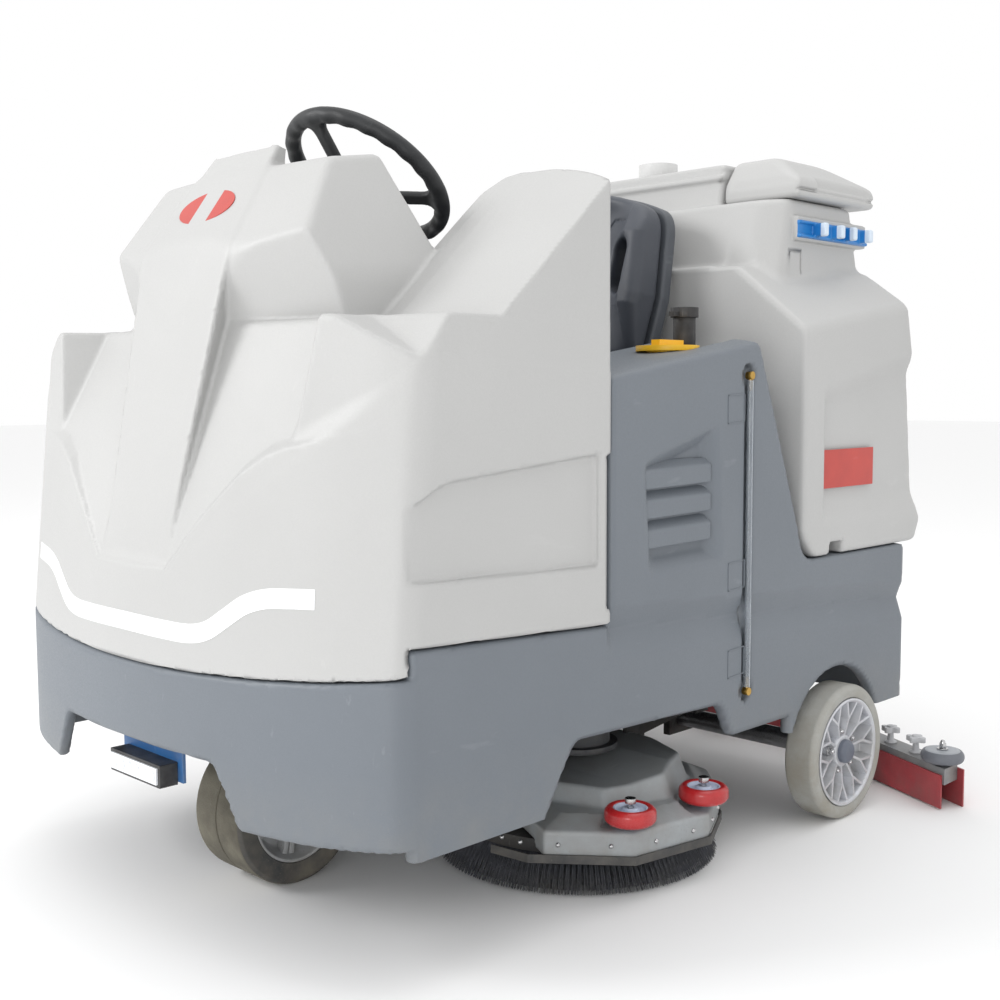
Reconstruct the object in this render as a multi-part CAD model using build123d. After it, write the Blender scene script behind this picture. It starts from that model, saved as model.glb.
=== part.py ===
from build123d import *
import os
from math import cos, sin, tan, radians

# Ride-on floor scrubber, millimetres. The front faces -Y, the driver's left is +X, the floor is Z = 0,
# and the origin is the middle of the footprint on the floor.

# ---- overall ----
NOSE_Y = -835.0
SQUEEGEE_REAR_Y = 835.0
BODY_REAR_Y = 655.0
BODY_HALF_W = 530.0
WALL = 8.0
GAP = 3.0

# ---- running gear ----
WHEELBASE = 945.0
FRONT_AXLE_Y = -550.0
REAR_AXLE_Y = FRONT_AXLE_Y + WHEELBASE
FRONT_R = 125.0
FRONT_TREAD_W = 133.0
FRONT_RIM_R = 88.0
REAR_R = 131.0
REAR_TREAD_W = 69.0
REAR_RIM_R = 103.0
REAR_WHEEL_X = 525.0
AXLE_R = 14.0
RUN_FIT = 0.06
AXLE_BEAM_R = 20.0
ARCH_R = 165.0

# ---- lower body ----
SKIRT_Z = 205.0
SEAM_Z = 430.0
LEDGE_Z = 484.0
NOSE_BULGE = 70.0
NOSE_CORNER_R = 110.0
WING_END_Y = -289.0
COLUMN_FRONT_Z = 853.0
COLUMN_REAR_Y = 122.0
COLUMN_REAR_Z = 918.0
SHOULDER_RISE = 26.0
SHOULDER_IN = 96.0
BAY_HALF_W = 300.0
COLUMN_FRONT_Y = -287.0
BAY_FRONT_Y = -200.0
BAY_REAR_Y = 232.0
TANK_SEAM_Z = 515.0
TRAY_Z = 900.0
FILL_HOLE_R = 38.0
FILL_X = 428.0
FILL_Y = -18.0
CUP_R = 20.0
CUP_X = 404.0
CUP_Y = 62.0
STEP_IN_FRONT_Y = -436.0
LUG_T = 10.0
ARM_NOTCH_W = 90.0
ARM_NOTCH_Z = 262.0

# ---- cowl ----
FOOTWELL_HALF_W = 330.0
FOOTWELL_FRONT_Y = -478.0
WING_TOP_Z = 862.0
NECK_Z = 943.0
HEAD_TOP_Z = 1206.0
DASH_LOW_Y = -409.0
DASH_LOW_Z = 1015.0
DASH_TOP_Y = -471.0
DASH_TOP_Z = 1150.0
DASH_HALF_W = 140.0
DASH_HALF_H = 52.0
STRIP_T = 1.5
BADGE_Y = -664.6
BADGE_Z = 1127.6
BADGE_TILT = 54.3

# ---- recovery tank ----
TANK_FRONT_Y = 246.0
TANK_REAR_Y = 690.0
TANK_TOP_Z = 1292.0
TANK_SHOULDER_Z = 1204.0
TANK_UPPER_HALF_W = 424.0
LID_X0 = 262.0
LID_X1 = 436.0
LID_Y0 = 380.0
LID_Y1 = 672.0
LID_H = 84.0

# ---- frame ----
RAIL_X = 150.0
RAIL_W = 40.0
RAIL_Z0 = 322.0
RAIL_Z1 = 378.0
TURRET_T = 16.0

# ---- brush deck ----
BRUSH_R = 256.0
BRUSH_X = 276.0
BRUSH_Y = -85.0
BRISTLE_Z = 1.0
BRISTLE_TOP_Z = 62.0
BLOCK_TOP_Z = 84.0
BLOCK_R = 222.0
DECK_EDGE_Z = 72.0
DECK_SKIN_T = 4.0
DECK_SIDE_TOP_Z = 116.0
DECK_TOP_Z = 134.0
HAT_TOP_Z = 188.0
MOTOR_R = 62.0
MOTOR_TOP_Z = 304.0
SHAFT_FIT_R = 14.0
ARM_LEN = 206.0
ARM_SLOPE = 7.0
ARM_GAP_Z = 40.0
ARM_X = 262.0
ARM_T = 8.0
PIN_R = 6.0
FRAME_PIVOT_Y = 300.0
FRAME_PIVOT_Z = 197.0
DECK_PIVOT_Y = FRAME_PIVOT_Y - ARM_LEN * cos(radians(ARM_SLOPE))
DECK_PIVOT_Z = FRAME_PIVOT_Z - ARM_LEN * sin(radians(ARM_SLOPE))
ROLLER_R = 43.0
ROLLER_T = 22.0
ROLLER_Z = 150.0
ROLLER_PLACES = [(510.0, -215.0), (527.0, -37.0)]
ROLLER_BOLT_R = 5.0

# ---- squeegee ----
SQ_HALF_W = 690.0
SQ_MID_HALF = 220.0
SQ_SWEEP = 25.0
SQ_BODY_T = 56.0
SQ_BODY_Z0 = 52.0
SQ_BODY_Z1 = 84.0
BLADE_T = 5.0
SQ_ROLLER_R = 42.0
SQ_MID_Y = SQUEEGEE_REAR_Y - SQ_BODY_T / 2 - BLADE_T
SQ_PIVOT_Y = 470.0
SQ_PIVOT_Z = 262.0
SQ_SWIVEL_Y = 790.0
SQ_ROLLER_X = 650.0
SQ_KNOB_XS = (500.0, 575.0)

# ---- seat and controls ----
SEAT_HALF_W = 235.0
SEAT_FRONT_Y = -205.0
SEAT_BACK_Y = 85.0
HOOD_Z = 800.0
HOOD_SHELF_Z = 668.0
CUSHION_T = 78.0
WHEEL_Y = -333.0
WHEEL_Z = 1212.0
WHEEL_TILT = 37.3
WHEEL_RING_R = 148.0
WHEEL_GRIP_R = 14.0
SHAFT_R = 11.0
KINGPIN_R = 24.0
SPINDLE_R = 12.0
TUBE_R = 30.0
GEARBOX_Z0 = 872.0
GEARBOX_Z1 = 962.0
BUTTON_X = -108.0
BUTTON_R = 9.0
KEY_X = 108.0
KEY_R = 8.0
PEDAL_X = -120.0
PEDAL_Y = -350.0
PEDAL_Z = 446.0
PEDAL_ANGLE = 28.0
PEDAL_PIN_R = 6.0
HOOD_REAR_Y = 205.0
SEAT_RECLINE = 8.0
LEVEL_X = 531.5
LEVEL_Y = 83.0
LEVEL_Z0 = 308.0
LEVEL_Z1 = 850.0


def box(x0, x1, y0, y1, z0, z1):
    """A block given by its limits."""
    size = (abs(x1 - x0), abs(y1 - y0), abs(z1 - z0))
    return Pos((x0 + x1) / 2, (y0 + y1) / 2, (z0 + z1) / 2) * Box(*size)


def rod_x(r, x0, x1, y, z):
    """A round bar along X."""
    return Pos((x0 + x1) / 2, y, z) * Rot(0, 90, 0) * Cylinder(r, abs(x1 - x0))


def rod_z(r, x, y, z0, z1):
    """A round bar along Z."""
    return Pos(x, y, (z0 + z1) / 2) * Cylinder(r, abs(z1 - z0))


def side_prism(points, x0, x1):
    """An outline drawn in (Y, Z), as wide as x0 to x1."""
    face = make_face(Plane.YZ * Polyline(*points, close=True))
    return Pos(x0, 0, 0) * extrude(face, amount=x1 - x0, dir=(1, 0, 0))


def plan_prism(points, z0, z1):
    """An outline drawn in (X, Y), as high as z0 to z1."""
    face = make_face(Polyline(*points, close=True))
    return Pos(0, 0, z0) * extrude(face, amount=z1 - z0)


def front_prism(points, y0, y1):
    """An outline drawn in (X, Z), as deep as y0 to y1."""
    face = make_face(Plane.XZ * Polyline(*points, close=True))
    return Pos(0, y0, 0) * extrude(face, amount=y1 - y0, dir=(0, 1, 0))


def other_side(shape):
    """The same piece on the driver's right."""
    return mirror(shape, about=Plane.YZ)


def both_sides(shape):
    """A piece and its mirror image, as one group."""
    return Compound(children=list(shape.solids()) + list(other_side(shape).solids()))


def nose_face(z, half_w, front_y, rear_y, bulge, corner_r):
    """A level section with a bowed front and two rounded front corners."""
    front = ThreePointArc((-half_w, front_y + bulge), (0, front_y), (half_w, front_y + bulge))
    rest = Polyline((half_w, front_y + bulge), (half_w, rear_y), (-half_w, rear_y), (-half_w, front_y + bulge))
    face = make_face(front + rest)
    corners = face.vertices().sort_by(Axis.Y)[:2]
    return Pos(0, 0, z) * fillet(corners, corner_r)


def nose_loft(sections, inset):
    """A lofted body through level sections, each drawn in by the inset."""
    faces = []
    for z, half_w, front_y, rear_y, bulge, corner_r in sections:
        faces.append(nose_face(z, half_w - inset, front_y + inset, rear_y - inset, bulge, corner_r - inset))
    return loft(faces, ruled=True)


def save(name, shape):
    """Write one node."""
    export_step(shape, f"parts/{name}.step")
    print(name, len(shape.solids()))


# ---------------------------------------------------------------- lower body
COLUMN_EDGE = [(COLUMN_REAR_Y, COLUMN_REAR_Z), (165.0, 815.0), (235.0, 630.0), (270.0, 540.0), (300.0, TANK_SEAM_Z)]


def base_outline(inset):
    """Side view of the base tank, from the footwell floor to the recovery tank's seat."""
    edge = [(y - inset, z - inset) for y, z in COLUMN_EDGE]
    front = [(COLUMN_FRONT_Y + inset, SEAM_Z - 20), (COLUMN_FRONT_Y + inset, COLUMN_FRONT_Z - inset)]
    rear = [(BODY_REAR_Y - inset, TANK_SEAM_Z - inset), (BODY_REAR_Y - inset, SEAM_Z - 20)]
    return front + edge + rear


def base_column(inset):
    """One side column with its outward-sloping shoulder, for the driver's left."""
    body = side_prism(base_outline(inset), BAY_HALF_W + inset, BODY_HALF_W - inset)
    rise = SHOULDER_RISE
    rear_y = COLUMN_REAR_Y - inset
    front_y = COLUMN_FRONT_Y + inset
    low = [(BODY_HALF_W - inset, COLUMN_FRONT_Z - inset), (BODY_HALF_W - SHOULDER_IN, COLUMN_FRONT_Z + rise - inset),
           (BAY_HALF_W + inset, COLUMN_FRONT_Z + rise - inset), (BAY_HALF_W + inset, 700), (BODY_HALF_W - inset, 700)]
    high = [(x, z + COLUMN_REAR_Z - COLUMN_FRONT_Z if z > 700 else z) for x, z in low]
    front = Pos(0, front_y, 0) * make_face(Plane.XZ * Polyline(*low, close=True))
    rear = Pos(0, rear_y, 0) * make_face(Plane.XZ * Polyline(*high, close=True))
    return body + loft([front, rear], ruled=True)


def base_rear(inset):
    """The rear of the base tank, between the side columns."""
    reach = BAY_HALF_W + 20
    return box(-reach, reach, BAY_REAR_Y + inset, BODY_REAR_Y - inset, SEAM_Z - 20, TANK_SEAM_Z - inset)


def base_body(inset):
    """The whole base tank as a filled body."""
    section = nose_face(SKIRT_Z - inset, BODY_HALF_W - inset, NOSE_Y + inset, BODY_REAR_Y - inset,
                        NOSE_BULGE, NOSE_CORNER_R - inset)
    lower = extrude(section, amount=SEAM_Z - SKIRT_Z, dir=(0, 0, 1))
    ledge = box(FOOTWELL_HALF_W + inset, BODY_HALF_W - inset, -698 + inset, COLUMN_FRONT_Y + 20,
                SEAM_Z - 20, LEDGE_Z - inset)
    column = base_column(inset)
    return lower + ledge + other_side(ledge) + column + other_side(column) + base_rear(inset)


def base_cuts():
    """Openings in the skirt: brush deck, rear wheels, nose arch, battery bay, louvres and filler tray."""
    reach = BODY_HALF_W + 20
    deck = side_prism([(-430, SKIRT_Z - 10), (-418, 228), (-374, 299), (10, 288), (39, 228), (45, SKIRT_Z - 10)],
                      -reach, reach)
    arch = rod_x(ARCH_R, -reach, reach, REAR_AXLE_Y, REAR_R)
    nose = front_prism([(-272, SKIRT_Z - 10), (-220, 295), (220, 295), (272, SKIRT_Z - 10)], NOSE_Y - 20, -700)
    bay = box(-BAY_HALF_W, BAY_HALF_W, BAY_FRONT_Y, BAY_REAR_Y, SEAM_Z - 30, 1100)
    louvre = side_prism([(-183, 524), (-186, 716), (12, 768), (30, 530)], BODY_HALF_W - 5, reach)
    tray = box(372, 486, -86, COLUMN_REAR_Y - 8, TRAY_Z, COLUMN_REAR_Z + 80)
    groove = box(BODY_HALF_W - 5, reach, LEVEL_Y - 9, LEVEL_Y + 9, 292, 872)
    arm_notch = box(-ARM_NOTCH_W, ARM_NOTCH_W, BODY_REAR_Y - 20, BODY_REAR_Y + 20, SKIRT_Z - 10, ARM_NOTCH_Z)
    return [deck, arch, nose, bay, louvre, other_side(louvre), tray, other_side(tray), groove, arm_notch]


def step_in():
    """The space cut from the driver's right, from the sill up, to step into the footwell."""
    return box(-BODY_HALF_W - 10, -BAY_HALF_W + 10, STEP_IN_FRONT_Y, BAY_FRONT_Y, SEAM_Z, 1000)


def bay_front():
    """Front wall of the battery bay, with a lip for the hood."""
    reach = BAY_HALF_W + 2
    wall = box(-reach, reach, BAY_FRONT_Y - WALL, BAY_FRONT_Y, SEAM_Z - WALL, HOOD_SHELF_Z)
    return wall + box(-reach, reach, BAY_FRONT_Y - WALL, BAY_FRONT_Y + 12, HOOD_SHELF_Z - WALL, HOOD_SHELF_Z)


def base_tank():
    """Blue-grey solution tank: a thin-walled moulding, open below."""
    tank = base_body(0) - base_body(WALL)
    for cut in base_cuts():
        tank = tank - cut
    louvre_floor = box(BODY_HALF_W - WALL - 5, BODY_HALF_W - 5, -190, 36, 518, 772)
    tray_floor = box(366, 492, -92, COLUMN_REAR_Y - 4, TRAY_Z - WALL, TRAY_Z)
    shelf = box(BAY_HALF_W - 22, BAY_HALF_W + 2, BAY_FRONT_Y, BAY_REAR_Y - 10, HOOD_SHELF_Z - WALL, HOOD_SHELF_Z)
    for piece in (louvre_floor, tray_floor, shelf):
        tank = tank + piece + other_side(piece)
    fill_hole = rod_z(FILL_HOLE_R, FILL_X, FILL_Y, TRAY_Z - 20, TRAY_Z + 20)
    tube_hole = rod_z(TUBE_R + GAP, 0, FRONT_AXLE_Y, SEAM_Z - 20, SEAM_Z + 10)
    sill = box(-BODY_HALF_W, -BAY_HALF_W + 10, STEP_IN_FRONT_Y, BAY_FRONT_Y, SEAM_Z - WALL, SEAM_Z)
    end_slice = box(-BODY_HALF_W - 10, -BAY_HALF_W + 10, BAY_FRONT_Y, BAY_FRONT_Y + WALL, SEAM_Z - WALL, 1000)
    tank = tank - step_in() - fill_hole - tube_hole + sill + bay_front()
    tank = tank + (end_slice & other_side(base_column(0)))
    for x in (PEDAL_X - 44, PEDAL_X + 44):
        tank = tank + box(x - LUG_T / 2, x + LUG_T / 2, PEDAL_Y - 9, PEDAL_Y + 9, SEAM_Z - 1, PEDAL_Z + 9)
    tank = tank - rod_x(PEDAL_PIN_R + RUN_FIT, PEDAL_X - 60, PEDAL_X + 60, PEDAL_Y, PEDAL_Z)
    return max(tank.solids(), key=lambda s: s.volume)


# ---------------------------------------------------------------- front cowl
BUMPER = [
    (SEAM_Z + GAP, 530, NOSE_Y, WING_END_Y, 70, 110),
    (575, 529, -828, WING_END_Y, 72, 112),
    (770, 522, -790, WING_END_Y, 78, 118),
    (WING_TOP_Z, 505, -735, WING_END_Y, 90, 120),
    (WING_TOP_Z + 34, 430, -680, WING_END_Y, 90, 110),
]
HEAD = [
    (760, 330, -768, -436, 40, 80),
    (943, 304, -712, -444, 50, 72),
    (1015, 300, -703, DASH_LOW_Y, 52, 70),
    (1050, 285, -719, -425, 48, 70),
    (1150, 250, -647, DASH_TOP_Y, 34, 60),
    (HEAD_TOP_Z, 205, -575, -500, 16, 30),
]


def front_cowl():
    """Light-grey cowl: nose, wings either side of the footwell, and the head that carries the dash."""
    outer = nose_loft(BUMPER, 0) + nose_loft(HEAD, 0)
    inner = nose_loft(BUMPER, WALL) + nose_loft(HEAD, WALL)
    inner = Pos(0, 0, -WALL) * inner
    rear_y = WING_END_Y + 10
    well = box(-FOOTWELL_HALF_W, FOOTWELL_HALF_W, FOOTWELL_FRONT_Y, rear_y, SEAM_Z - 10, NECK_Z)
    well_wall = box(-FOOTWELL_HALF_W - WALL, FOOTWELL_HALF_W + WALL, FOOTWELL_FRONT_Y - WALL, rear_y,
                    SEAM_Z - 10, NECK_Z + WALL)
    side_wall = box(-600, -FOOTWELL_HALF_W, STEP_IN_FRONT_Y - WALL, rear_y, SEAM_Z - 10, 1000)
    side_open = box(-600, -FOOTWELL_HALF_W + 20, STEP_IN_FRONT_Y, rear_y, SEAM_Z - 10, 1000)
    ledge = box(FOOTWELL_HALF_W - 20, 600, -701, rear_y, SEAM_Z - 10, LEDGE_Z + GAP)
    shell = outer - (inner - well_wall - side_wall) - well - side_open - ledge - other_side(ledge)
    shell = shell - dash_opening()
    return max(shell.solids(), key=lambda s: s.volume)


def dash_frame():
    """The plane of the dash, facing the driver: X across, Y up the slope."""
    centre = ((DASH_LOW_Y + DASH_TOP_Y) / 2, (DASH_LOW_Z + DASH_TOP_Z) / 2)
    slope = (0, DASH_TOP_Y - DASH_LOW_Y, DASH_TOP_Z - DASH_LOW_Z)
    normal = Vector(-1, 0, 0).cross(Vector(*slope))
    return Plane(origin=(0, *centre), x_dir=(-1, 0, 0), z_dir=normal)


def dash_opening():
    """The hole in the head that the dash panel closes."""
    return dash_frame() * Box(2 * DASH_HALF_W, 2 * DASH_HALF_H, 60)


def cowl_strip():
    """White strip round the nose: a thin skin on the bumper, stepped up at both sides."""
    skin = nose_loft(BUMPER, -STRIP_T) - nose_loft(BUMPER, -0.2)
    low = [(-455, 565), (-300, 556), (-205, 501), (205, 501), (300, 556), (455, 565)]
    high = [(455, 608), (288, 600), (190, 546), (-190, 546), (-288, 600), (-455, 608)]
    strip = skin & front_prism(low + high, NOSE_Y - 20, -640)
    return max(strip.solids(), key=lambda s: s.volume)


def body_labels():
    """Plain red labels: an oval on the head and one rectangle on each tank side."""
    face = Pos(0, BADGE_Y, BADGE_Z) * Rot(BADGE_TILT, 0, 0)
    oval = face * extrude(Ellipse(75, 34), amount=1.2)
    plate = box(BODY_HALF_W - 14, BODY_HALF_W - 12.6, 352, 540, 644, 718)
    return Compound(children=[oval] + list(both_sides(plate).solids()))


# ---------------------------------------------------------------- recovery tank
def tank_lower(inset):
    """Lower tank: full width beside the column edges, set back behind the battery bay."""
    edge = [(y + GAP + inset, z) for y, z in COLUMN_EDGE[1:]]
    rear = [(BODY_REAR_Y - inset, TANK_SEAM_Z + GAP + inset), (722 - inset, 562), (TANK_REAR_Y - inset, 850),
            (TANK_REAR_Y - 35 - inset, 1006 - inset)]
    first = (COLUMN_REAR_Y + GAP + inset, COLUMN_REAR_Z + 6 - inset)
    foot = (COLUMN_EDGE[-1][0] + GAP + inset, TANK_SEAM_Z + GAP + inset)
    x0 = BAY_HALF_W - GAP + inset
    side = side_prism([first] + edge[:-1] + [foot] + rear, x0, BODY_HALF_W - inset)
    x1 = BAY_HALF_W - GAP + 2 * inset
    foot = (TANK_FRONT_Y + inset, TANK_SEAM_Z + GAP + inset)
    middle = side_prism([foot] + rear + [(TANK_FRONT_Y + inset, 940 - inset)], -x1, x1)
    return side + other_side(side) + middle


def tank_shoulder(inset):
    """Sloping shoulder between the wide lower tank and the narrow upper tank."""
    x0 = BODY_HALF_W - inset
    y0 = COLUMN_REAR_Y + GAP + inset
    y1 = TANK_REAR_Y - 35 - inset
    z0 = COLUMN_REAR_Z + 4 - inset
    low = Polyline((-x0, y0, z0), (x0, y0, z0), (x0, y1, 1004 - inset), (-x0, y1, 1004 - inset), close=True)
    x1 = TANK_UPPER_HALF_W - inset
    y2 = 300 + inset
    z1 = 1034 - inset
    z2 = 1060 - inset
    high = Polyline((-x1, y2, z1), (x1, y2, z1), (x1, y1, z2), (-x1, y1, z2), close=True)
    return loft([make_face(low), make_face(high)], ruled=True)


def tank_upper(inset):
    """Upper tank, its raised middle block and the moulded block on the driver's right."""
    w = TANK_UPPER_HALF_W - inset
    rear = TANK_REAR_Y - 38 - inset
    body = side_prism([(300 + inset, 985), (384 + inset, TANK_SHOULDER_Z - inset), (rear, TANK_SHOULDER_Z - inset),
                       (rear, 985)], -w, w)
    block = side_prism([(372 + inset, 1160), (392 + inset, TANK_TOP_Z - inset), (rear - 14, TANK_TOP_Z - inset),
                        (rear, 1160)], -w + 8, LID_X0 - 4 - inset)
    return body + block


def recovery_tank():
    """Light-grey recovery tank: thin walls, a mouth under the lid and a recess for each side label."""
    tank = tank_lower(0) + tank_shoulder(0) + tank_upper(0)
    hollow = tank_lower(WALL) + tank_shoulder(WALL) + tank_upper(WALL)
    seat_space = box(-BAY_HALF_W + GAP, BAY_HALF_W - GAP, 0, TANK_FRONT_Y, 500, 1010)
    tank = tank - hollow - seat_space
    x0 = BAY_HALF_W - GAP
    wall = box(-x0, x0, TANK_FRONT_Y, TANK_FRONT_Y + WALL, TANK_SEAM_Z + GAP, 960)
    cheek = box(x0 - WALL, x0, TANK_FRONT_Y, COLUMN_EDGE[-1][0] + 10, TANK_SEAM_Z + GAP, 640)
    wall = wall + cheek + other_side(cheek)
    mouth = box(LID_X0 + 26, LID_X1 - 34, LID_Y0 + 50, LID_Y1 - 50, TANK_SHOULDER_Z - 20, TANK_SHOULDER_Z + 20)
    recess_edge = [(300, 582), (252, 690), (300, 772), (640, 800), (640, 590)]
    recess = side_prism(recess_edge, BODY_HALF_W - 14, BODY_HALF_W + 10)
    floor = box(BODY_HALF_W - 14 - WALL, BODY_HALF_W - 14, 244, 650, 574, 806)
    tank = tank - mouth - recess - other_side(recess) + wall
    tank = tank + (floor & tank_lower(0)) + (other_side(floor) & tank_lower(0))
    return max(tank.solids(), key=lambda s: s.volume)


def recovery_lid():
    """Hinged lid over the tank mouth: a shallow shell with sloped cheeks."""
    x, y, z0 = (LID_X0 + LID_X1) / 2, (LID_Y0 + LID_Y1) / 2, TANK_SHOULDER_Z + 1
    w, d = LID_X1 - LID_X0, LID_Y1 - LID_Y0

    def shape(t):
        low = Pos(x, y, z0) * Rectangle(w - 2 * t, d - 2 * t)
        mid = Pos(0, 0, 34) * low
        top = Pos(x - 14, y, z0 + LID_H) * Rectangle(w - 50 - 2 * t, d - 70 - 2 * t)
        return loft([low, mid], ruled=True) + loft([mid, top], ruled=True)

    return shape(0) - Pos(0, 0, -5) * shape(5)


# ---------------------------------------------------------------- frame and running gear
def chassis_frame():
    """Welded frame: rails, cross members, turret plate, axle plates, arm brackets and squeegee bracket."""
    rail = box(RAIL_X - RAIL_W / 2, RAIL_X + RAIL_W / 2, -740, 620, RAIL_Z0, RAIL_Z1)
    frame = rail + other_side(rail)
    for y, half in ((-740, 400), (-290, 440), (280, 440), (580, 440)):
        frame = frame + box(-half, half, y, y + 40, RAIL_Z0, RAIL_Z1)
    turret = box(-RAIL_X, RAIL_X, FRONT_AXLE_Y - 95, FRONT_AXLE_Y + 95, RAIL_Z0 - TURRET_T, RAIL_Z0)
    frame = frame + turret - rod_z(KINGPIN_R + RUN_FIT, 0, FRONT_AXLE_Y, RAIL_Z0 - 40, RAIL_Z0 + 10)
    axle_plate = box(RAIL_X - 8, RAIL_X + 8, REAR_AXLE_Y - 45, REAR_AXLE_Y + 45, REAR_R - 34, RAIL_Z0)
    arm_plate = box(ARM_X + ARM_T / 2 + 5, ARM_X + ARM_T / 2 + 13, FRAME_PIVOT_Y - 20, FRAME_PIVOT_Y + 20,
                    FRAME_PIVOT_Z - 18, RAIL_Z0)
    sq_plate = box(70, 80, SQ_PIVOT_Y - 26, 620, SQ_PIVOT_Z - 22, RAIL_Z0)
    for plate in (axle_plate, arm_plate, sq_plate):
        frame = frame + plate + other_side(plate)
    frame = frame + box(-RAIL_X, RAIL_X, SQ_PIVOT_Y - 26, SQ_PIVOT_Y + 26, RAIL_Z0, RAIL_Z0 + 20)
    for z in (FRAME_PIVOT_Z, FRAME_PIVOT_Z + ARM_GAP_Z):
        pin = rod_x(PIN_R, ARM_X - ARM_T / 2 - 6, ARM_X + ARM_T / 2 + 8, FRAME_PIVOT_Y, z)
        frame = frame + pin + other_side(pin)
    sq_pin = rod_x(PIN_R + 2, -78, 78, SQ_PIVOT_Y, SQ_PIVOT_Z)
    frame = frame + sq_pin - rod_x(AXLE_BEAM_R, -300, 300, REAR_AXLE_Y, REAR_R)
    return frame


def rear_axle():
    """Dead axle: a beam with a turned stub at each end."""
    beam = rod_x(AXLE_BEAM_R, -REAR_WHEEL_X + 42, REAR_WHEEL_X - 42, REAR_AXLE_Y, REAR_R)
    return beam + rod_x(AXLE_R, -REAR_WHEEL_X - 30, REAR_WHEEL_X + 30, REAR_AXLE_Y, REAR_R)


def rear_rim():
    """Spoked rim with a deep face, on the driver's left."""
    x0 = REAR_WHEEL_X - REAR_TREAD_W / 2
    x1 = REAR_WHEEL_X + REAR_TREAD_W / 2
    rim = rod_x(REAR_RIM_R, x0 + 3, x1 - 3, REAR_AXLE_Y, REAR_R) - rod_x(REAR_RIM_R - 9, x0, x1, REAR_AXLE_Y, REAR_R)
    rim = rim + rod_x(34, x0 + 10, x1 - 4, REAR_AXLE_Y, REAR_R)
    for k in range(10):
        spoke = box(x0 + 14, x1 - 8, -6, 6, 28, REAR_RIM_R - 6)
        rim = rim + Pos(0, REAR_AXLE_Y, REAR_R) * Rot(36 * k, 0, 0) * spoke
    rim = rim + rod_x(22, x1 - 6, x1 + 4, REAR_AXLE_Y, REAR_R)
    return rim - rod_x(AXLE_R + RUN_FIT, x0, REAR_WHEEL_X + 31, REAR_AXLE_Y, REAR_R)


def tyre(x, width, outer_r, inner_r, y, z, groove):
    """Solid tyre with rounded shoulders and an optional centre groove."""
    ring = rod_x(outer_r, x - width / 2, x + width / 2, y, z)
    ring = fillet(ring.edges(), 9)
    ring = ring - rod_x(inner_r, x - width / 2 - 1, x + width / 2 + 1, y, z)
    if groove:
        cut = rod_x(outer_r + 5, x - groove, x + groove, y, z)
        ring = ring - (cut - rod_x(outer_r - 5, x - groove, x + groove, y, z))
    return ring


def front_rim():
    """Finned aluminium hub-motor wheel."""
    half = FRONT_TREAD_W / 2
    rim = rod_x(FRONT_RIM_R, -half + 4, half - 4, FRONT_AXLE_Y, FRONT_R)
    for side in (-1, 1):
        dish = rod_x(FRONT_RIM_R - 8, side * (half - 16), side * half, FRONT_AXLE_Y, FRONT_R)
        rim = rim - dish + rod_x(30, side * (half - 18), side * (half - 6), FRONT_AXLE_Y, FRONT_R)
        for k in range(12):
            fin = box(side * (half - 18), side * (half - 8), -3, 3, 26, FRONT_RIM_R - 6)
            rim = rim + Pos(0, FRONT_AXLE_Y, FRONT_R) * Rot(30 * k, 0, 0) * fin
    return rim - rod_x(AXLE_R + RUN_FIT, -half, half, FRONT_AXLE_Y, FRONT_R)


def steering_fork():
    """Fork over the drive wheel with its axle, slewing disc and long king pin."""
    x0 = FRONT_TREAD_W / 2 + 6
    crown_z = 2 * FRONT_R + 12
    fork = box(-x0 - 12, x0 + 12, FRONT_AXLE_Y - 55, FRONT_AXLE_Y + 55, crown_z, crown_z + 18)
    leg = box(x0, x0 + 12, FRONT_AXLE_Y - 34, FRONT_AXLE_Y + 34, FRONT_R - 30, crown_z + 2)
    fork = fork + leg + other_side(leg) + rod_x(AXLE_R, -x0 - 4, x0 + 4, FRONT_AXLE_Y, FRONT_R)
    fork = fork + rod_z(70, 0, FRONT_AXLE_Y, crown_z + 16, RAIL_Z0 - TURRET_T - 0.4)
    fork = fork + rod_z(KINGPIN_R, 0, FRONT_AXLE_Y, crown_z, RAIL_Z0 + 12)
    return fork + rod_z(SPINDLE_R, 0, FRONT_AXLE_Y, crown_z, GEARBOX_Z0 + 24)


# ---------------------------------------------------------------- steering
def wheel_place(distance=0.0):
    """A place on the steering axis, that far below the steering wheel's plane."""
    t = radians(WHEEL_TILT)
    return Pos(0, WHEEL_Y - distance * sin(t), WHEEL_Z - distance * cos(t)) * Rot(-WHEEL_TILT, 0, 0)


def axis_rod(r, near, far):
    """A bar along the steering axis between two distances below the wheel's plane."""
    return wheel_place((near + far) / 2) * Cylinder(r, far - near)


def steering_wheel():
    """Three-spoke steering wheel with a dished hub."""
    wheel = Torus(WHEEL_RING_R, WHEEL_GRIP_R) + Pos(0, 0, -40) * Cylinder(34, 30)
    for angle in (-90, 30, 150):
        spoke = Polyline((26, -48), (26, -30), (WHEEL_RING_R, 7), (WHEEL_RING_R, -7), close=True)
        blade = extrude(make_face(Plane.XZ * spoke), amount=14, both=True)
        wheel = wheel + Rot(0, 0, angle) * blade
    wheel = wheel_place() * wheel
    return wheel - axis_rod(SHAFT_R, 36, 70)


def steering_column():
    """Fixed tube round the steering shaft, with its foot on the gearbox."""
    tube = axis_rod(22, 118, 292)
    foot = box(-16, 16, FRONT_AXLE_Y - 20, FRONT_AXLE_Y + 46, GEARBOX_Z1, GEARBOX_Z1 + 12)
    web = side_prism([(FRONT_AXLE_Y - 10, GEARBOX_Z1), (FRONT_AXLE_Y + 46, GEARBOX_Z1), (FRONT_AXLE_Y + 90, 1045),
                      (FRONT_AXLE_Y + 60, 1010)], -5, 5)
    return tube + foot + web - axis_rod(SHAFT_R + RUN_FIT, 100, 420)


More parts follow.
